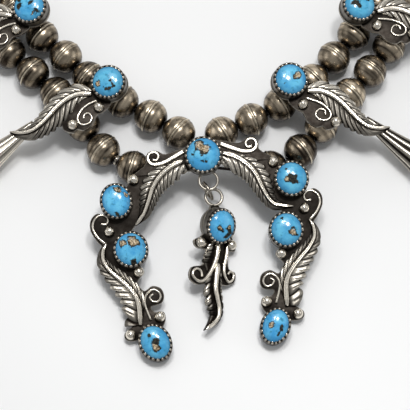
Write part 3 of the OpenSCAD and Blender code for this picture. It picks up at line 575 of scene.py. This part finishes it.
def at_stone(stone, x, y, z):
    """Points measured from a stone's middle, turned with it and moved to its place."""
    c, s = math.cos(math.radians(stone.lean)), math.sin(math.radians(stone.lean))
    return np.stack([stone.x + x * c - y * s, stone.y + x * s + y * c, z + 0 * x], -1)


def oval_wall(stone, rows, n=96):
    """Rings round an oval stone, an outward offset and a height a row: (a + offset) cos t and
    (b + offset) sin t."""
    t = full_turn(n)
    off, z = np.array(rows, float).T[:, :, None]
    x = (stone.half_width + off) * np.cos(t)
    return at_stone(stone, x, (stone.half_length + off) * np.sin(t), z)


# Bezel from foot to rim and down inside: offset from the stone, height from the rim or at most down to its
# foot, how far the gaps between teeth are lowered, wear, how much those gaps darken
BEZEL_ROWS = [
    (0.62, -9.0, 0, 0.03, 0), (0.62, -2.2, 0, 0.18, 0), (0.62, -1.2, 0, 0.25, 0.2),
    (0.6, -0.62, 0.1, 0.2, 1.0), (0.54, -0.28, 0.3, 0.25, 1.0), (0.4, -0.03, 0.5, 0.8, 1.0),
    (0.2, 0.08, 0.6, 1.0, 1.0), (0.0, 0.1, 0.6, 1.0, 1.0), (-0.08, 0.02, 0.6, 0.3, 1.0),
    (0.06, -0.3, 0.35, 0.0, 1.0), (0.08, -2.2, 0, 0, 0)]
TEETH = 22
TOOTH_POINTS = 8


def bezel(shape, stone, place=None, height=BEZEL_H):
    """A serrated bezel: a closed oval wall whose rim leans in over the stone and is cut into uneven teeth:
    its height falls by drop (1 - tooth), tooth = (0.5 + 0.5 cos(n a + 0.8 sin(3 a + y)))^0.8, and each
    tooth glints differently."""
    n = TEETH * TOOTH_POINTS
    a = full_turn(n)
    tooth = (0.5 + 0.5 * np.cos(TEETH * a + 0.8 * np.sin(3 * a + stone.y))) ** 0.8
    glint = 0.5 + 0.5 * np.roll(np.repeat(rng.random(TEETH), TOOTH_POINTS), -TOOTH_POINTS // 2)
    off, z, drop, wear, dark = np.array(BEZEL_ROWS).T[:, :, None]
    g = oval_wall(stone, np.column_stack([off, np.maximum(height + PLATE + z, 0.1)]), n)
    g[..., 2] -= drop * (1 - tooth)
    worn = wear * (1 - dark * (1 - tooth)) * np.where(dark > 0.9, glint, 1.0)
    shape.add(*skin(g, True), wear=worn, place=place)


def matrix(name, x, y):
    """How dark and how golden a stone is at x, y, both as parts of its radius: each spot gives
    1.7 - 1.2 d held to 0 to 1, d the distance from it in its own radii on a plane warped by sines. A golden
    spot also has a dark edge at d = 1.15."""
    if name in SPOTS:
        spots = np.array(SPOTS[name]) / 100
    else:
        k = rng.integers(3, 7)
        centres, radii = rng.uniform(-0.65, 0.65, (k, 2)), rng.uniform(0.07, 0.2, k)
        spots = np.column_stack([centres, radii, rng.random(k) > 0.6])
    wx = x + 0.05 * np.sin(9 * y + 2) + 0.03 * np.sin(23 * x - 1) + 0.02 * np.sin(41 * y)
    wy = y + 0.05 * np.sin(8 * x + 1) + 0.03 * np.sin(21 * y + 2) + 0.02 * np.sin(37 * x)
    dark, gold = np.zeros(x.shape), np.zeros(x.shape)
    for spot_x, spot_y, radius, golden in spots:
        far = np.hypot(wx - spot_x, wy - spot_y) / radius
        here = np.clip(1.7 - 1.2 * far, 0, 1)
        if golden:
            gold = np.maximum(gold, here)
            dark = np.maximum(dark, np.clip(1.2 - 3 * abs(far - 1.15), 0, 0.7))
        else:
            dark = np.maximum(dark, here)
    return dark, gold


def set_stone(name, stone, place, height=BEZEL_H):
    """A cabochon in its bezel: a wall up to its girdle, drawn in a little at its foot, then a dome of
    radius cos(a)^0.92 and height girdle + (top - girdle) sin(a)^1.02."""
    base = CUP_FLOOR + STONE_GAP
    girdle = PLATE + height - 0.45
    top = PLATE + height + STONE_GAP + STONE_RISE - 0.03
    a = np.radians(np.linspace(0, 89, 24))
    wall = [(0.9, base), (1.0, base + 0.1), (1.0, girdle - 0.3), (1.0, girdle - 0.05)]
    dome = np.stack([np.cos(a) ** 0.92, girdle + (top - girdle) * np.sin(a) ** 1.02], 1)
    ux, uy, z = np.moveaxis(lathe(np.vstack([wall, dome]), 64), -1, 0)
    g = at_stone(stone, stone.half_width * ux, stone.half_length * uy, z)
    # The spots are drawn as the photo shows them, so they lie in table directions, not in the piece's own
    m = (place @ turn("z", stone.lean))[:2, :2]
    m = m / np.sqrt(abs(np.linalg.det(m)))
    dark, gold = matrix(name, m[0, 0] * ux + m[0, 1] * uy, m[1, 0] * ux + m[1, 1] * uy)
    rim = np.hypot(ux, uy)
    cabochon = Shape(place)
    cabochon.add(*skin(g), dark=capped(dark), gold=capped(gold), rim=capped(rim), tone=rng.random())
    cabochon.piece(name, "turquoise", STONE)


def lug(shape, p, drop, heading, thickness, place):
    """A drilled lug under a plate, as rings across the thread: its bore, and round that an eye whose upper
    half is a neck, 1.15 min(1, 1.5 |cos a|) to each side and (drop + 0.3) min(1, 3 sin a) up."""
    a = full_turn(24)
    circle = np.stack([np.cos(a), np.sin(a)], -1)
    neck_x = 1.15 * np.sign(np.cos(a)) * np.minimum(1, 1.5 * np.abs(np.cos(a)))
    neck_y = (drop + 0.3) * np.minimum(1, 3 * np.sin(a))
    outline = np.where(circle[:, 1:] > 0, np.stack([neck_x, neck_y], -1), LUG_R * circle)
    rings = [(-1, LUG_BORE * circle), (-1, outline), (1, outline), (1, LUG_BORE * circle)]
    g = np.stack([np.column_stack([np.full(24, side * thickness / 2), q]) for side, q in rings])
    m = place @ shift(p[0], p[1], -drop) @ turn("z", heading)
    shape.add(*skin(g, True), wear=0.35, place=m)


def ring_of(shape, ring, place, turned, wear=0.45):
    """A wire ring of the given row in a plane of its own."""
    m = place @ shift(ring.x, ring.y, ring.z) @ turned
    shape.add(*skin(torus(ring.radius, ring.wire), True), wear=wear, place=m)


def to_plane(place, q):
    """A point on the table in a piece's own plane."""
    return (np.linalg.inv(place) @ np.array([q[0], q[1], q[2], 1.0]))[:3]


# Materials

POLISHED = (0.96, 0.89, 0.77, 1)
OXIDE = (0.014, 0.011, 0.009, 1)
WIRE_POLISH = (0.7, 0.64, 0.55, 1)
WIRE_OXIDE = (0.05, 0.04, 0.03, 1)
TARNISH = (0.036, 0.027, 0.02, 1)
RUBBED = (0.8, 0.67, 0.5, 1)
SEAM = (0.72, 0.64, 0.5, 1)
SEAM_DIRT = (0.02, 0.015, 0.012, 1)
SKY_DEEP = (0.06, 0.39, 0.8, 1)
SKY_LIGHT = (0.18, 0.66, 1.0, 1)
GREENISH = (0.1, 0.42, 0.5, 1)
CLOUD = (0.05, 0.34, 0.56, 1)
# Painted shade for the rim of each stone, standing in for dark surroundings reflected there.
PAINTED_RIM_SHADE = (0.03, 0.2, 0.42, 1)
HALO = (0.02, 0.12, 0.2, 1)
MATRIX_BLACK = (0.006, 0.009, 0.01, 1)
MATRIX_BROWN = (0.05, 0.045, 0.03, 1)
SAND_DARK = (0.14, 0.09, 0.04, 1)
SAND_LIGHT = (0.72, 0.58, 0.38, 1)
THREAD_DARK = (0.012, 0.009, 0.007, 1)
THREAD_LIGHT = (0.06, 0.045, 0.035, 1)
FLOOR_GREY = (0.925, 0.925, 0.92, 1)
FLOOR_WHITE = (0.94, 0.94, 0.935, 1)


class Look:
    """A node material with its shader."""

    def __init__(self, name):
        self.material = bpy.data.materials.new(name)
        self.material.use_nodes = True
        self.tree = self.material.node_tree
        self.tree.nodes.clear()
        out = self.tree.nodes.new("ShaderNodeOutputMaterial")
        self.shader = self.tree.nodes.new("ShaderNodeBsdfPrincipled")
        self.tree.links.new(self.shader.outputs[0], out.inputs[0])

    def fill(self, node, values):
        """Each value goes to the node's input of its name, a socket by a link."""
        for key, v in values.items():
            if isinstance(v, bpy.types.NodeSocket):
                self.tree.links.new(v, node.inputs[key])
            else:
                node.inputs[key].default_value = v

    def node(self, kind, values, result=0, **props):
        n = self.tree.nodes.new("ShaderNode" + kind)
        for k, v in props.items():
            setattr(n, k, v)
        self.fill(n, values)
        return n.outputs[result]

    def attribute(self, name):
        return self.node("Attribute", {}, "Fac", attribute_name=name)

    def noise(self, scale, detail=4.0, rough=0.55):
        """3-D noise over the object's own coordinates, in metres."""
        co = self.node("TexCoord", {}, "Object")
        values = {"Vector": co, "Scale": scale, "Detail": detail, "Roughness": rough}
        return self.node("TexNoise", values, "Fac")

    def remap(self, value, a, b, c=0.0, d=1.0):
        """value taken from a to b onto c to d, held to that range."""
        values = {"Value": value, "From Min": a, "From Max": b, "To Min": c, "To Max": d}
        return self.node("MapRange", values)

    def mix(self, fac, a, b):
        """A colour between a and b; 0, 6, 7 and 2 are the node's factor, its colours and its result."""
        return self.node("Mix", {0: fac, 6: a, 7: b}, 2, data_type="RGBA")

    def maths(self, a, b, op="ADD"):
        return self.node("Math", {0: a, 1: b}, operation=op)

    def bump(self, height, strength, distance):
        return self.node("Bump", {"Height": height, "Strength": strength, "Distance": distance})

    def shade(self, values):
        self.fill(self.shader, values)
        return self.material


def silver(name, polished, oxide, smooth_polish, dull_oxide, spread=0.15, grain=0.05):
    """Silver that is polished where wear is 1 and black in its recesses, each with its roughness; spread is
    how uneven the wear is."""
    n = Look(name)
    spots = n.remap(n.noise(700.0), 0.3, 0.7, 1 - spread, 1 + spread)
    fac = n.remap(n.maths(n.attribute("wear"), spots, "MULTIPLY"), 0.05, 0.95)
    fine = n.noise(2600.0, 3.0)
    rough = n.remap(fac, 0, 1, dull_oxide, smooth_polish)
    return n.shade({
        "Base Color": n.mix(fac, oxide, polished),
        "Roughness": n.maths(rough, n.remap(fine, 0.3, 0.7, -0.04, 0.06)),
        "Normal": n.bump(n.remap(fine, 0, 1, 0, grain), 0.5, 0.00003), "Metallic": 1.0})


def bead_silver():
    """Dark tarnished silver with lighter worn patches, its own tone a bead with painted shade towards its
    underside, and a bright seam.
    """
    n = Look("bead_silver")
    wear, tone = n.attribute("wear"), n.attribute("tone")
    coarse, fine = n.noise(260.0), n.noise(1500.0)
    # tone brings in each bead's own lightness and the painted shade on its underside.
    patch = n.maths(n.remap(coarse, 0.3, 0.7, -0.16, 0.16), tone)
    body = n.mix(n.remap(patch, 0.12, 0.9), TARNISH, RUBBED)
    body = n.mix(n.remap(wear, 0.0, 0.3), SEAM_DIRT, body)
    uneven = n.maths(coarse, n.remap(fine, 0, 1, 0, 0.1))
    return n.shade({
        "Base Color": n.mix(n.remap(wear, 0.6, 1.0), body, SEAM),
        "Roughness": n.remap(fine, 0.3, 0.7, 0.24, 0.34),
        "Normal": n.bump(uneven, 0.16, 0.00012), "Metallic": 1.0})


def turquoise():
    """Sky-blue stone, clouded lighter and darker, with painted shade deepening it at its rim, and with dark
    and golden matrix.
    """
    n = Look("turquoise")
    dark, gold, tone, rim = (n.attribute(k) for k in ("dark", "gold", "tone", "rim"))
    coarse, middle, fine = n.noise(300.0, 3.0), n.noise(900.0, 5.0, 0.65), n.noise(2400.0, 3.0)
    blue = n.mix(n.remap(coarse, 0.38, 0.62), SKY_DEEP, SKY_LIGHT)
    blue = n.mix(n.remap(tone, 0, 1, 0, 0.35), blue, GREENISH)
    blue = n.mix(n.remap(middle, 0.52, 0.75, 0, 0.7), blue, CLOUD)
    # Painted shade: the blue deepens towards the rim.
    blue = n.mix(n.remap(rim, 0.6, 1.0, 0, 0.65), blue, PAINTED_RIM_SHADE)
    edge = n.maths(dark, n.remap(middle, 0.25, 0.75, -0.42, 0.42))
    black = n.mix(n.remap(fine, 0.4, 0.6), MATRIX_BLACK, MATRIX_BROWN)
    halo = n.mix(n.remap(edge, 0.1, 0.45, 0, 0.75), blue, HALO)
    spotted = n.mix(n.remap(edge, 0.38, 0.62), halo, black)
    fleck = n.maths(gold, n.remap(middle, 0.3, 0.7, -0.25, 0.25))
    sand = n.mix(n.remap(fine, 0.4, 0.62), SAND_DARK, SAND_LIGHT)
    return n.shade({
        "Base Color": n.mix(n.remap(fleck, 0.4, 0.7), spotted, sand),
        "Roughness": n.remap(n.maths(dark, gold), 0.2, 0.8, 0.12, 0.5),
        "Normal": n.bump(n.maths(dark, fine), 0.12, 0.00006),
        "Specular IOR Level": n.remap(edge, 0.2, 0.6, 0.55, 0.1)})


def dull_thread():
    n = Look("thread")
    fine = n.noise(3000.0, 3.0)
    return n.shade({"Base Color": n.mix(fine, THREAD_DARK, THREAD_LIGHT),
                    "Normal": n.bump(fine, 0.5, 0.0001), "Roughness": 0.85})


def table_top():
    n = Look("floor")
    return n.shade({"Base Color": n.mix(n.noise(3.0, 2.0), FLOOR_GREY, FLOOR_WHITE),
                    "Roughness": 0.32, "Specular IOR Level": 0.2})


WORKED = silver("worked_silver", POLISHED, OXIDE, 0.17, 0.42)
BRIGHT = silver("bright_silver", WIRE_POLISH, WIRE_OXIDE, 0.14, 0.3, 0.1, 0.03)
BEADS = bead_silver()
STONE = turquoise()
THREAD = dull_thread()
FLOOR = table_top()


# Strands, with what they carry counted in millimetres from the middle of the naja

inner = Curve(np.vstack([LEFT[::-1, :2], RIGHT[1:, :2]]))
outer = Curve(np.vstack([LEFT[::-1, 2:], RIGHT[1:, 2:]]))
inner_mid = inner.nearest(LEFT[0, :2])
outer_mid = outer.nearest(LEFT[0, 2:])
BLOSSOMS = 5
START = 7.2
GROUP = 2 * PITCH + INNER_GAP
INNER_END = 268
OUTER_END = 276


def blossom_frame(side, k):
    """Point on the inner strand, angle of x, and the matrix of the blossom's own plane."""
    s = inner_mid + side * (START + 2 * PITCH + INNER_GAP / 2 + (k - 1) * GROUP)
    p = inner.at(s)
    a = inner.heading(s) + (180 if side < 0 else 0)
    q = p + (FACE_SHIFTS[side][k - 1] if k < 3 else (0, 0))
    flip = np.diag([1, -side, 1, 1]).astype(float)
    return p, a, shift(q[0], q[1], BLOSSOM_Z) @ turn("z", a) @ flip @ turn("x", -BLOSSOM_SLOPE)


def outer_stop(side, k):
    """How far along the outer strand the outer lug of a blossom sits."""
    p, a, _ = blossom_frame(side, k)
    away, ahead = math.radians(a - side * 90), math.radians(a)
    q = p + OUTER_REACH * np.array([math.cos(away), math.sin(away)])
    q = q + OUTER_SHIFT * np.array([math.cos(ahead), math.sin(ahead)])
    return side * (outer.nearest(q) - outer_mid)


def inner_places():
    """Three beads before each blossom, then beads up to the end."""
    groups = [START + k * GROUP + j * PITCH for k in range(BLOSSOMS) for j in range(3)]
    return np.concatenate([groups, np.arange(START + BLOSSOMS * GROUP, INNER_END + 1e-6, PITCH)])


def outer_places(side):
    """Three beads before the first blossom, with the coil between the first two, and three between
    blossoms, then beads up to the end."""
    q = [outer_stop(side, k) for k in range(1, BLOSSOMS + 1)]
    first = q[0] - OUTER_GAP / 2
    between = [(a + b) / 2 + j * PITCH for a, b in zip(q, q[1:]) for j in (-1, 0, 1)]
    return np.concatenate([[first - 2 * PITCH - COIL_GAP, first - PITCH, first], between,
                           np.arange(q[-1] + OUTER_GAP / 2, OUTER_END + 1e-6, PITCH)])


def bead_profile():
    """Half of a drilled bead's section, two domed halves with a raised seam between two fine grooves:
    radius(z) = R sqrt(1 - (z / (pole + cut))^2) - h + h exp(-(z / 0.22)^4), h the seam's height, less 0.06
    in the grooves, closed through the bore; and how worn it is along that."""
    dome = POLE * np.sin(np.linspace(-np.pi / 2, np.pi / 2, 27))
    by_seam = np.array([0.15, 0.25, 0.34, 0.45])
    z = np.sort(np.concatenate([dome, by_seam, -by_seam]))
    seam = np.exp(-(z / 0.22) ** 4)
    r = BEAD_R * np.sqrt(1 - (z / (POLE + POLE_CUT)) ** 2) - SEAM_HEIGHT * (1 - seam)
    r = r - 0.06 * np.exp(-((np.abs(z) - 0.4) / 0.1) ** 2)
    worn = 0.45 + 0.55 * seam - 0.42 * np.exp(-((np.abs(z) - 0.42) / 0.13) ** 2)
    worn = worn - 0.4 * np.clip((np.abs(z) - 3.2) / 0.9, 0, 1)
    bore = [(BORE, POLE - 0.02), (BORE, 0.02 - POLE)]
    return np.vstack([np.column_stack([r, z]), bore]), np.concatenate([worn, [0.0, 0.0]])


def bead_strand(name, curve, mid, side, places):
    """Beads along a strand, each turned about its bore and slightly out of round and uneven along it. tone
    is a bead's own lightness with bands round it, times a painted shade that darkens it towards its
    underside."""
    profile, worn = bead_profile()
    worn = worn[:, None] * np.ones(36)
    shape = Shape()
    for s in places:
        g = lathe(profile, 36)
        a, z = np.arctan2(g[..., 1], g[..., 0]), g[..., 2]
        ph = rng.uniform(0, 6.28, 6)
        uneven = 0.99 + 0.006 * np.sin(2 * a + ph[0]) * np.cos(z / 2 + ph[1])
        uneven += 0.0025 * np.sin(3.1 * z + ph[2]) + 0.0015 * np.sin(6.7 * z + ph[3])
        g[..., :2] *= uneven[..., None]
        band = 0.5 + 0.3 * np.sin(2.1 * z + ph[4]) + 0.2 * np.sin(5.3 * z + 0.6 * np.sin(a) + ph[5])
        p = curve.at(mid + side * s)
        heading = curve.heading(mid + side * s) + rng.uniform(-1.5, 1.5)
        m = shift(p[0], p[1], BEAD_R) @ turn("z", heading) @ turn("y", 90) @ turn("z", rng.uniform(0, 360))
        # Painted shade: the lower a point lies on the bead, the darker its tone, down to 0.2 of it at the
        # bottom.
        painted_underside_shade = 0.2 + 0.8 * np.clip((g @ m[2, :3] / BEAD_R + 0.15) / 0.95, 0, 1)
        shape.add(*skin(g, True), wear=worn, tone=(0.35 * rng.random() + 0.65 * band) * painted_underside_shade, place=m)
    shape.piece(name, "bead_silver", BEADS)


def thread(name, curve, mid, left, right, middle):
    """A thread straight through each bead, and on round the loop past the last ones."""
    def through(stops):
        p, a = curve.at(stops), np.radians(curve.heading(stops))
        d = STRAIGHT_HALF * np.stack([np.cos(a), np.sin(a)], -1)
        return np.stack([p - d, p + d], 1).reshape(-1, 2)
    left_end = curve.at(np.arange(0, mid - left[-1] - 5, 4))
    right_end = curve.at(np.arange(curve.span, mid + right[-1] + 5, -4))[::-1]
    path = np.vstack([left_end, through(mid - left[::-1]), curve.at(mid + np.array(middle)),
                      through(mid + right), right_end])
    g, _ = tube(np.column_stack([path, np.full(len(path), THREAD_Z)]), THREAD_R, 10)
    Shape().add(*skin(g)).piece(name, "thread", THREAD)


def wire_coil():
    """The small coil of wire between the first two beads of the left outer strand: a helix about X."""
    first, second = outer_places(-1)[:2]
    s = outer_mid - (first + second) / 2
    p = outer.at(s)
    t = np.linspace(0, 1, 80) * COIL_TURNS
    a = 2 * np.pi * t
    helix = np.column_stack([(t - COIL_TURNS / 2) * COIL_PITCH, COIL_R * np.cos(a), COIL_R * np.sin(a)])
    g, _ = tube(helix, COIL_WIRE, 8, up=(1, 0, 0))
    coil = Shape(shift(p[0], p[1], THREAD_Z) @ turn("z", outer.heading(s)))
    coil.add(*skin(g)).piece("wire_coil", "bright_silver", BRIGHT)


for word, side in SIDES.items():
    bead_strand(f"inner_beads_{word}", inner, inner_mid, side, inner_places())
for word, side in SIDES.items():
    bead_strand(f"outer_beads_{word}", outer, outer_mid, side, outer_places(side))
thread("inner_thread", inner, inner_mid, inner_places(), inner_places(), [-0.9, 0.9])
thread("outer_thread", outer, outer_mid, outer_places(-1), outer_places(1), [-12, -9, 0, 9.8, 12])
wire_coil()


# Naja

naja_place = shift(*NAJA_AT) @ turn("z", NAJA_TURN) @ turn("x", NAJA_SLOPE)


def bent(side, p):
    """A point of the right arm as it lies on either arm."""
    return (side * p[0] + ARM_OFFSET + ARM_DRIFT * p[1], p[1] + side * ARM_STEP)


def bent_stone(side, stone):
    x, y = bent(side, stone)
    return stone._replace(x=x, y=y, lean=-side * stone.lean)


def naja_arm(shape, side):
    plate(shape, [bent(side, q) for q in NAJA_OUTLINE])
    for stone in NAJA_STONES[side]:
        bezel(shape, bent_stone(side, stone))
    for q in NAJA_BALLS:
        ball(shape, bent(side, q))
    for points, (r, taper, groove) in zip(NAJA_SCROLLS, SCROLL_WIRES):
        wire(shape, [bent(side, q) for q in points], r, taper, groove)
    leaf(shape, [bent(side, q) for q in NAJA_UPPER[side]], *UPPER_SIDES[::side])
    leaf(shape, [bent(side, q) for q in NAJA_LOWER], *LOWER_SIDES[::-side])


naja = Shape(naja_place)
naja_arm(naja, -1)
naja_arm(naja, 1)
bezel(naja, bent_stone(1, NAJA_TOP))
ring_of(naja, NAJA_RING, naja_place, np.eye(4))
for x, y, heading in NAJA_LUGS:
    q = to_plane(naja_place, (x, y, THREAD_Z))
    lug(naja, q, -q[2], heading - NAJA_TURN, NAJA_LUG_THICK, naja_place)
naja.piece("naja", "worked_silver", WORKED)

set_stone("naja_stone_top", bent_stone(1, NAJA_TOP), naja_place)
for word, side in SIDES.items():
    for k, stone in enumerate(NAJA_STONES[side], 1):
        set_stone(f"naja_stone_{word}_{k}", bent_stone(side, stone), naja_place)


# Blossoms

def trumpet(shape, place, shine):
    """A fluted bell from its neck to a flared mouth and back down inside, thinner by its wall: radius
    r(s) (0.95 + depth cos 9a), the ridges brighter than the hollows between."""
    outside = smooth(TRUMPET, 8)
    inside = outside[8::2][::-1].copy()
    inside[:, 3] -= TRUMPET_WALL
    rows = np.vstack([outside, inside])
    is_outside = np.arange(len(rows))[:, None] < len(outside)
    t = unit((outside[-1] - outside[0])[:3])
    side = unit(np.cross(t, (0, 0, 1)))
    up = np.cross(side, t)
    a = full_turn(72)
    flute = np.cos(FLUTES * a)
    r = rows[:, 3:] * (0.95 + np.where(is_outside, FLUTE_OUTSIDE, FLUTE_INSIDE) * flute)
    circle = np.cos(a)[:, None] * side + np.sin(a)[:, None] * up
    wear = np.where(is_outside, np.clip(shine + 0.45 * flute, 0, 1), 0.05)
    shape.add(*skin(rows[:, None, :3] + r[..., None] * circle), wear=capped(wear), place=place)


def blossom(word, side, k):
    p, heading, m = blossom_frame(side, k)
    leaned = m @ shift(0, 0, LEAN_LIFT + SUNK) @ turn("x", -BEZEL_LEAN) @ shift(0, 0, -SUNK)
    b = Shape(m)
    t = full_turn(24)
    disc = BLOSSOM_DISC_R * np.stack([np.cos(t), np.sin(t)], 1) + BLOSSOM_STONE[:2]
    plate(b, disc)
    plate(b, BLOSSOM_OUTLINE, PLATE - 0.02)
    bezel(b, BLOSSOM_STONE, leaned, BLOSSOM_BEZEL_H)
    for q in BLOSSOM_BALLS[side]:
        ball(b, q)
    wire(b, BLOSSOM_SCROLL[side], 0.34)
    leaf(b, BLOSSOM_SPINE, *BLOSSOM_SIDES)
    trumpet(b, m, TRUMPET_SHINE[side])
    q = to_plane(m, (*p, THREAD_Z))
    lug(b, q, -q[2], 0, INNER_LUG_THICK, m)
    s = outer_mid + side * outer_stop(side, k)
    q = to_plane(m, (*outer.at(s), THREAD_Z))
    across = side * (heading - outer.heading(s) - (180 if side < 0 else 0))
    lug(b, q, -q[2], across, OUTER_LUG_THICK, m)
    b.piece(f"blossom_{word}_{k}", "worked_silver", WORKED)
    set_stone(f"blossom_stone_{word}_{k}", BLOSSOM_STONE, leaned, BLOSSOM_BEZEL_H)


for word, side in SIDES.items():
    for k in range(1, BLOSSOMS + 1):
        blossom(word, side, k)


# Drop and its jump ring

drop_place = shift(*DROP_AT) @ turn("x", DROP_PITCH) @ turn("y", DROP_ROLL)
tipped = drop_place @ shift(0, 0, DROP_LIFT + SUNK) @ turn("x", DROP_LEAN) @ shift(0, 0, -SUNK)
wall = BEZEL_WALL + SIDE_GAP
foot = oval_wall(DROP_STONE, [(wall, 0.1), (wall, DROP_FOOT), (0.35, DROP_FOOT), (0.35, 0.1)])
drop = Shape(drop_place)
plate(drop, DROP_OUTLINE)
drop.add(*skin(foot, True), wear=0.25)
bezel(drop, DROP_STONE, tipped)
for q in DROP_BALLS:
    ball(drop, q)
wire(drop, DROP_STEM, 0.72, 0.5)
wire(drop, DROP_SIDE, 0.55, 0.4)
leaf(drop, DROP_STEM[:4], *STEM_SIDES, crown=0.3, rib=0.3, groove=0, dark=0.5)
leaf(drop, DROP_SPINE, *DROP_SIDES, crown=0.4, rib=0.6, groove=0, dark=0.55)
ring_of(drop, DROP_RING, drop_place, turn("y", -0.6 * DROP_ROLL))
drop.piece("drop", "worked_silver", WORKED)
set_stone("drop_stone", DROP_STONE, tipped)
link = Shape()
ring_of(link, LINK_RING, np.eye(4), turn("z", LINK_TURN) @ turn("x", 90), 0.5)
link.piece("drop_link", "bright_silver", BRIGHT)


# End cones and hook

# Outside of a cone from its eye to its rolled mouth, and its inside: radius and distance along it
CONE_OUTSIDE = [
    (0.05, 0), (1.5, 0), (1.62, 0.7), (1.8, 1.5), (2.2, 3.1), (2.35, 3.3), (2.3, 3.5), (3.2, 7),
    (3.9, 10.2), (4.05, 10.5), (3.98, 10.8), (4.35, 12.4), (4.5, 13.0)]
CONE_INSIDE = [(4.3, 13.05), (4.0, 12.9), (2.7, 7), (1.2, 2), (0.05, 2)]


def end_cone(word, side):
    """A spun cone with an eye: a closed profile turned about X, in bands that follow cos(1.9 z)."""
    m = shift(*HOOK_AT) @ np.diag([side, 1, 1, 1]).astype(float) @ shift(CONE_FROM, 0, 0)
    z = np.array([row[1] for row in CONE_OUTSIDE])
    worn = np.concatenate([0.5 + 0.4 * np.cos(1.9 * z), np.zeros(len(CONE_INSIDE))])
    cone = Shape(m @ turn("y", 90))
    cone.add(*skin(lathe(CONE_OUTSIDE + CONE_INSIDE, 48)), wear=capped(worn[:, None] * np.ones(48)))
    ring_of(cone, CONE_EYE, m, turn("x", 90), 0.9)
    cone.piece(f"end_cone_{word}", "worked_silver", WORKED)


def clasp():
    """A hook bent from wire through both eyes: an oval from 112 to 428 degrees."""
    a = np.radians(np.linspace(112, 428, 60))
    x, y, z = HOOK_AT
    path = np.column_stack([x + HOOK_HALF[0] * np.cos(a), y + HOOK_HALF[1] * np.sin(a), np.full(60, z)])
    g, _ = tube(path, HOOK_WIRE, 12)
    Shape().add(*skin(g)).piece("clasp", "bright_silver", BRIGHT)


for word, side in SIDES.items():
    end_cone(word, side)
clasp()


# Floor, light and camera, in metres

FLOOR_HALF = 1.5
WORLD_COLOUR = (0.98, 0.99, 1.0, 1)
WORLD_STRENGTH = 0.30
AIM = (Vector((0, 0, 4.0)) + Vector(SHIFT.tolist())) * 0.001
# Soft lights: name, direction from the naja, distance, width and height, power
LIGHTS = [
    ("key", (0.16, 0.15, 1.0), 0.9, (0.12, 0.12), 2.0),
    ("second_key", (-0.06, 0.27, 1.0), 0.9, (0.12, 0.12), 1.45),
    ("overhead", (0.0, 0.33, 1.0), 0.9, (0.45, 0.45), 1.5),
    ("left_panel", (-1.0, 0.1, 0.6), 0.8, (0.5, 0.3), 0.35),
    ("right_panel", (1.0, 0.1, 0.6), 0.8, (0.5, 0.3), 0.35),
    ("back_panel", (0.0, 1.0, 0.6), 0.9, (1.0, 0.3), 0.6)]
CAMERA_ELEVATION = 70.0
CAMERA_DISTANCE = 0.45
CAMERA_HALF_ANGLE = 6.68


def floor():
    mesh = bpy.data.meshes.new("floor")
    corners = [(x * FLOOR_HALF, y * FLOOR_HALF, 0) for x, y in ((-1, -1), (1, -1), (1, 1), (-1, 1))]
    mesh.from_pydata(corners, [], [(0, 1, 2, 3)])
    mesh.materials.append(FLOOR)
    table = bpy.data.objects.new("floor", mesh)
    bpy.context.collection.objects.link(table)


def daylight():
    world = bpy.data.worlds.new("world")
    world.use_nodes = True
    background = world.node_tree.nodes["Background"]
    background.inputs["Color"].default_value = WORLD_COLOUR
    background.inputs["Strength"].default_value = WORLD_STRENGTH
    bpy.context.scene.world = world


def look_at_naja(item):
    """Turns a light or the camera to the naja and puts it in the scene."""
    item.rotation_euler = (AIM - item.location).to_track_quat("-Z", "Y").to_euler()
    bpy.context.collection.objects.link(item)


def softbox(name, direction, distance, size, power):
    """An area light that faces the naja from a direction."""
    light = bpy.data.lights.new(name, "AREA")
    light.shape = "RECTANGLE"
    light.size, light.size_y = size
    light.energy = power
    lamp = bpy.data.objects.new(name, light)
    lamp.location = AIM + Vector(direction).normalized() * distance
    look_at_naja(lamp)


def camera():
    lens = bpy.data.cameras.new("camera")
    lens.sensor_width = 36.0
    lens.lens = 18.0 / math.tan(math.radians(CAMERA_HALF_ANGLE))
    lens.clip_start = 0.01
    lens.clip_end = 20.0
    elevation = math.radians(CAMERA_ELEVATION)
    cam = bpy.data.objects.new("camera", lens)
    cam.location = AIM + Vector((0, -math.cos(elevation), math.sin(elevation))) * CAMERA_DISTANCE
    look_at_naja(cam)
    bpy.context.scene.camera = cam


floor()
daylight()
for row in LIGHTS:
    softbox(*row)
camera()
bpy.context.scene.view_settings.view_transform = "Standard"
